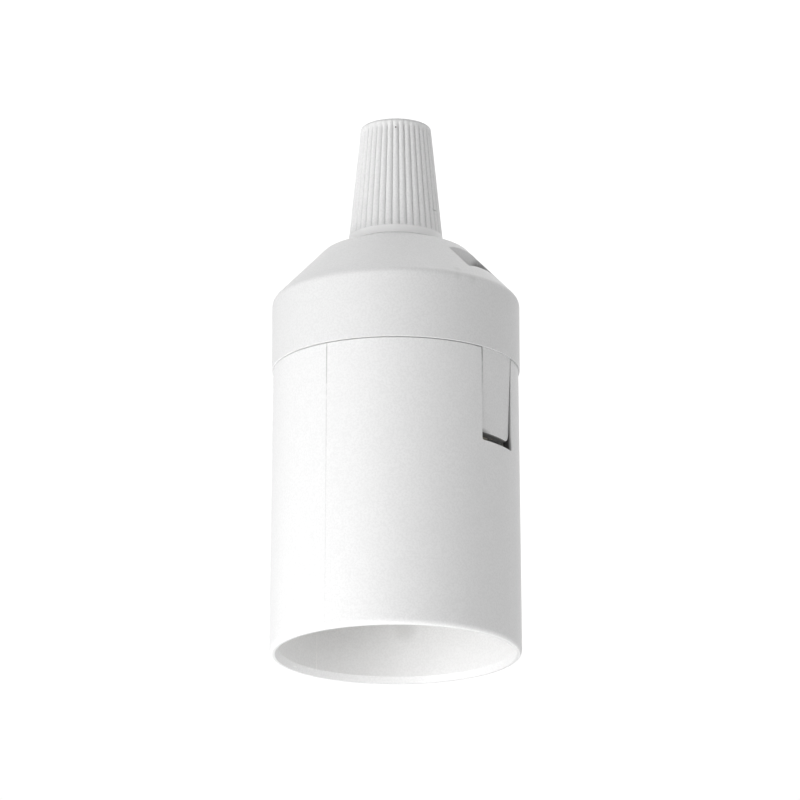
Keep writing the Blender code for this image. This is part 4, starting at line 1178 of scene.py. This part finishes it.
def buildShell():
    thick = shell["thick"]
    heights = evenSteps(threadLow, threadHigh, shell["turns"] * shell["rowsPerTurn"])
    flareR = shellHigh.x - thick

    def face(angle, shift, flangeZ, bend):
        flare = [(flareR + shift, shellLow.z), (flareR + shift - shell["flareIn"], shellLow.z + shell["flareUp"])]
        side = [(shellRadius(z, angle) + shift, z) for z in heights]
        corners = [(shell["majorR"] + shift, threadHigh), (shell["majorR"] + shift, flangeZ, bend),
                   (shell["flangeR"], flangeZ)]
        return flare + side + roundedOutline(corners, 5)[1:]

    loops = []
    for angle in evenAngles(shell["columns"]):
        inside = face(angle, 0.0, shellHigh.z - thick, shell["bend"] - thick)
        outside = face(angle, thick, shellHigh.z, shell["bend"])
        loops.append(atAngle(inside + outside[::-1], angle))
    piece = skinned("shell", loops)
    drillShellRivets(piece, shellHigh.z - 3 * thick, shellHigh.z + thick)
    return settle(piece, "holder", "thread_shell", nickel)


print("thread shell built:", len(buildShell().data.polygons), "faces")


# Rivets: domed heads with a setting dimple
def buildRivet(node):
    low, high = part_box(node)
    x = (low.x + high.x) / 2
    y = (low.y + high.y) / 2
    head = rivet["dimple"] + [
        (rivet["headR"] * math.sin(deg(a)), rivet["headHeight"] * (1 - math.cos(deg(a)))) for a in (40, 55, 70, 80, 90)
    ] + [(rivet["shankR"], rivet["headHeight"])]
    outline = [(r, low.z + rise) for r, rise in head] + [(r, high.z - rise) for r, rise in reversed(head)]
    piece = spun("rivet", outline, evenAngles(36), centre=(x, y))
    return settle(piece, "holder", node, brass)


for rivetNode in [*rivet["shellAngles"], "contact_rivet"]:
    buildRivet(rivetNode)
print("rivets built")


# Insert: the thermoset block over the shell
insert = {
    "ring": 1.40 * mm,
    "body": 5.50 * mm,
    "ringHeight": 2.70 * mm,
    "footStep": 0.90 * mm,
    "recessR": 8.30 * mm,
    "recessDepth": 4.40 * mm,
    "barrierThick": 1.60 * mm,
    "barrierRound": 0.15 * mm,
    "roomX": 14.40 * mm,
    "screwR": 1.60 * mm,
    "liveScrewY": 9.80 * mm,
    "neutralScrewY": -6.88 * mm,
}


def buildInsert():
    topR = spigotInnerR - fit["side"]
    footR = topR - insert["footStep"]
    bottomZ = insertLow.z
    floorZ = insertStepZ + insert["body"]
    recessZ = bottomZ + insert["recessDepth"]
    ringTopZ = floorZ + insert["ringHeight"]
    outline = roundedOutline([
        (0.0, recessZ),
        (insert["recessR"], recessZ, 0.4 * mm),
        (insert["recessR"], bottomZ, 0.3 * mm),
        (footR, bottomZ, 0.3 * mm),
        (footR, insertStepZ),
        (topR, insertStepZ, 0.15 * mm),
        (topR, ringTopZ, 0.2 * mm),
        (topR - insert["ring"], ringTopZ, 0.2 * mm),
        (topR - insert["ring"], floorZ, 0.3 * mm),
        (0.0, floorZ),
    ], 4)
    piece = spun("insert", outline, evenAngles(120, deg(1.5)))
    join(piece, brick((-footR, -insert["barrierThick"] / 2, floorZ - 0.5 * mm),
                      (footR, insert["barrierThick"] / 2, insertHigh.z), insert["barrierRound"]))
    roomHalf = slotHalf + 3 * fit["side"]
    cut(piece, brick((insert["roomX"], -roomHalf, bottomZ - past), (topR + past, roomHalf, insertHigh.z + past)))
    keyHalf = cap["keyWidth"] / 2 + fit["side"]
    cut(piece, brick((-topR - past, -keyHalf, bottomZ - past),
                     (-spigotInnerR + cap["keyReach"] + fit["side"], keyHalf, insertHigh.z + past)))
    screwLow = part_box("terminal_screw_live")[0].z - 2 * fit["seat"]
    for y in (insert["liveScrewY"], insert["neutralScrewY"]):
        drill(piece, 0.0, y, insert["screwR"] + rivet["play"], screwLow, insertHigh.z)
    drill(piece, 0.0, rivet["liveY"], rivetHoleR, bottomZ, insertHigh.z)
    drillShellRivets(piece, bottomZ - past, insertHigh.z)
    return settle(piece, "holder", "insert", thermoset)


print("insert built:", len(buildInsert().data.polygons), "faces")


# Centre contact: sprung strip with a pressed button
contact = {
    "thick": 0.50 * mm,
    "halfWidth": 2.00 * mm,
    "drop": 2.20 * mm,
    "tipR": 1.90 * mm,
    "bend": 0.9 * mm,
    "dome": 0.4 * mm,
}


def buildContact():
    thick = contact["thick"]
    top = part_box("centre_contact")[1].z
    foot = rivet["liveY"] + rivet["headR"]
    bend = rivet["liveY"] - rivet["headR"]
    low = top - contact["drop"]
    tip = contact["tipR"]
    upper = roundedOutline([(foot, top), (bend, top, contact["bend"]), (tip, low, contact["bend"]),
                            (-tip, low, 0.4 * mm), (-tip - thick, low + thick)], 5)
    lower = roundedOutline([(-tip - 1.5 * thick, low), (-tip - thick / 2, low - thick, 0.6 * mm),
                            (tip - thick / 2, low - thick, contact["bend"]),
                            (bend - thick / 2, top - thick, contact["bend"]), (foot, top - thick)], 5)
    piece = alongX(upper + lower, -contact["halfWidth"], contact["halfWidth"])
    drill(piece, 0.0, rivet["liveY"], rivetHoleR, low, top + thick)
    buttonR = tip * 0.8
    button = [(0.0, low - thick / 2), (buttonR, low - thick / 2), (buttonR, low - thick)]
    button += [(buttonR * math.cos(deg(a)), low - thick - contact["dome"] * math.sin(deg(a)))
               for a in (25, 45, 65, 80)]
    button.append((0.0, low - thick - contact["dome"]))
    join(piece, spun("button", button, evenAngles(36)))
    settle(piece, None, "centre_contact", bronze)
    bend + 0.6 * mm
    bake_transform(piece)
    return piece


buildContact()
print("contact built")

for name in ("terminal_live", "terminal_neutral"):
    nodes[name].material_slots[0].material = brass
for name in ("clamp_live", "clamp_neutral", "terminal_screw_live", "terminal_screw_neutral", "grip_locknut"):
    nodes[name].material_slots[0].material = nickel
print("frame pieces dressed")


# Studio: pale floor far below, four soft lamps, a surround that is light above and white behind
studio = {
    "floorZ": -1.60,
    "floorSize": 60.0,
    "base": 0.15,       # surround: from every side
    "above": 0.90,
    "behind": 0.93,     # behind the holder, as the photo's camera sees it
    "backdrop": 0.30,   # on top of that in the middle of the backdrop
    "lights": {
        "keyLight": {"angle": deg(-93.2), "height": deg(-15), "distance": 0.55, "size": 0.52, "power": 1.21},
        "lowLight": {"angle": deg(-118.2), "height": deg(-45), "distance": 0.42, "size": 0.34, "power": 1.00},
        "rimLight": {"angle": deg(48.8), "height": deg(-20), "distance": 1.6, "size": 1.30, "power": 4.4},
        "frontLight": {"angle": deg(-56.2), "height": deg(45), "distance": 1.6, "size": 1.00, "power": 1.0},
    },
}
photo = {
    "azimuth": deg(33.8),
    "elevation": deg(-16.36),
    "distance": 1.027,
    "aimHeight": 42.27 * mm,
    "aimRight": 0.68 * mm,
    "lens": 286.9,
}


def cameraBack():
    level = math.cos(photo["elevation"])
    return Vector((math.sin(photo["azimuth"]) * level, -math.cos(photo["azimuth"]) * level,
                   math.sin(photo["elevation"])))


def buildFloor():
    half = studio["floorSize"] / 2
    bm = bmesh.new()
    corners = [(-half, -half), (half, -half), (half, half), (-half, half)]
    bm.faces.new([bm.verts.new((x, y, studio["floorZ"])) for x, y in corners])
    material, make = newMaterial("paleFloor")
    tone = make.grain(make.places(), 3.0, 3)
    make.principled({
        "Base Color": make.mix(tone * 0.2, (0.86, 0.86, 0.86, 1), (0.80, 0.80, 0.80, 1)),
        "Roughness": 0.85,
    })
    floor = finishPiece("floor", bm)
    floor.data.materials.append(material)


def buildSurround():
    world = bpy.data.worlds.new("studioSurround")
    bpy.context.scene.world = world
    world.use_nodes = True
    make = Maker(world.node_tree)
    aim = make.node("ShaderNodeTexCoord", out="Generated")

    def glow(way):
        return make.along(aim, way).math("MAXIMUM", 0.0) ** 3.0

    back = cameraBack()
    behind = Vector((-back.x, -back.y, math.hypot(back.x, back.y))).normalized()
    lift = make.ramp(make.along(aim, -back), (0.90, 0), (0.985, 1))
    strength = studio["base"] + glow(up) * studio["above"] + glow(behind) * studio["behind"]
    strength = strength + lift * studio["backdrop"]
    background = make.node("ShaderNodeBackground", None, {"Color": (1, 1, 1, 1), "Strength": strength})
    make.node("ShaderNodeOutputWorld", None, [background])


def softLight(name, setting):
    lamp = bpy.data.lights.new(name, "AREA")
    lamp.shape = "DISK"
    lamp.size = setting["size"]
    lamp.energy = setting["power"]
    holder = bpy.data.objects.new(name, lamp)
    bpy.context.scene.collection.objects.link(holder)
    away = Vector((*polar(math.cos(setting["height"]), setting["angle"]), math.sin(setting["height"])))
    holder.location = Vector((0, 0, photo["aimHeight"])) + away * setting["distance"]
    holder.rotation_euler = away.to_track_quat("Z", "Y").to_euler()


def buildCamera():
    camera = bpy.data.objects.new("camera", bpy.data.cameras.new("camera"))
    bpy.context.scene.collection.objects.link(camera)
    back = cameraBack()
    right = Vector((math.cos(photo["azimuth"]), math.sin(photo["azimuth"]), 0))
    aim = Vector((0, 0, photo["aimHeight"])) + right * photo["aimRight"]
    camera.location = aim + back * photo["distance"]
    camera.rotation_euler = back.to_track_quat("Z", "Y").to_euler()
    camera.data.sensor_width = 36
    camera.data.lens = photo["lens"]
    camera.data.clip_start = 0.05
    camera.data.clip_end = 30
    bpy.context.scene.camera = camera


buildFloor()
buildSurround()
for lightName, lightSetting in studio["lights"].items():
    softLight(lightName, lightSetting)
buildCamera()
bpy.context.scene.view_settings.view_transform = "Standard"
print("studio ready")
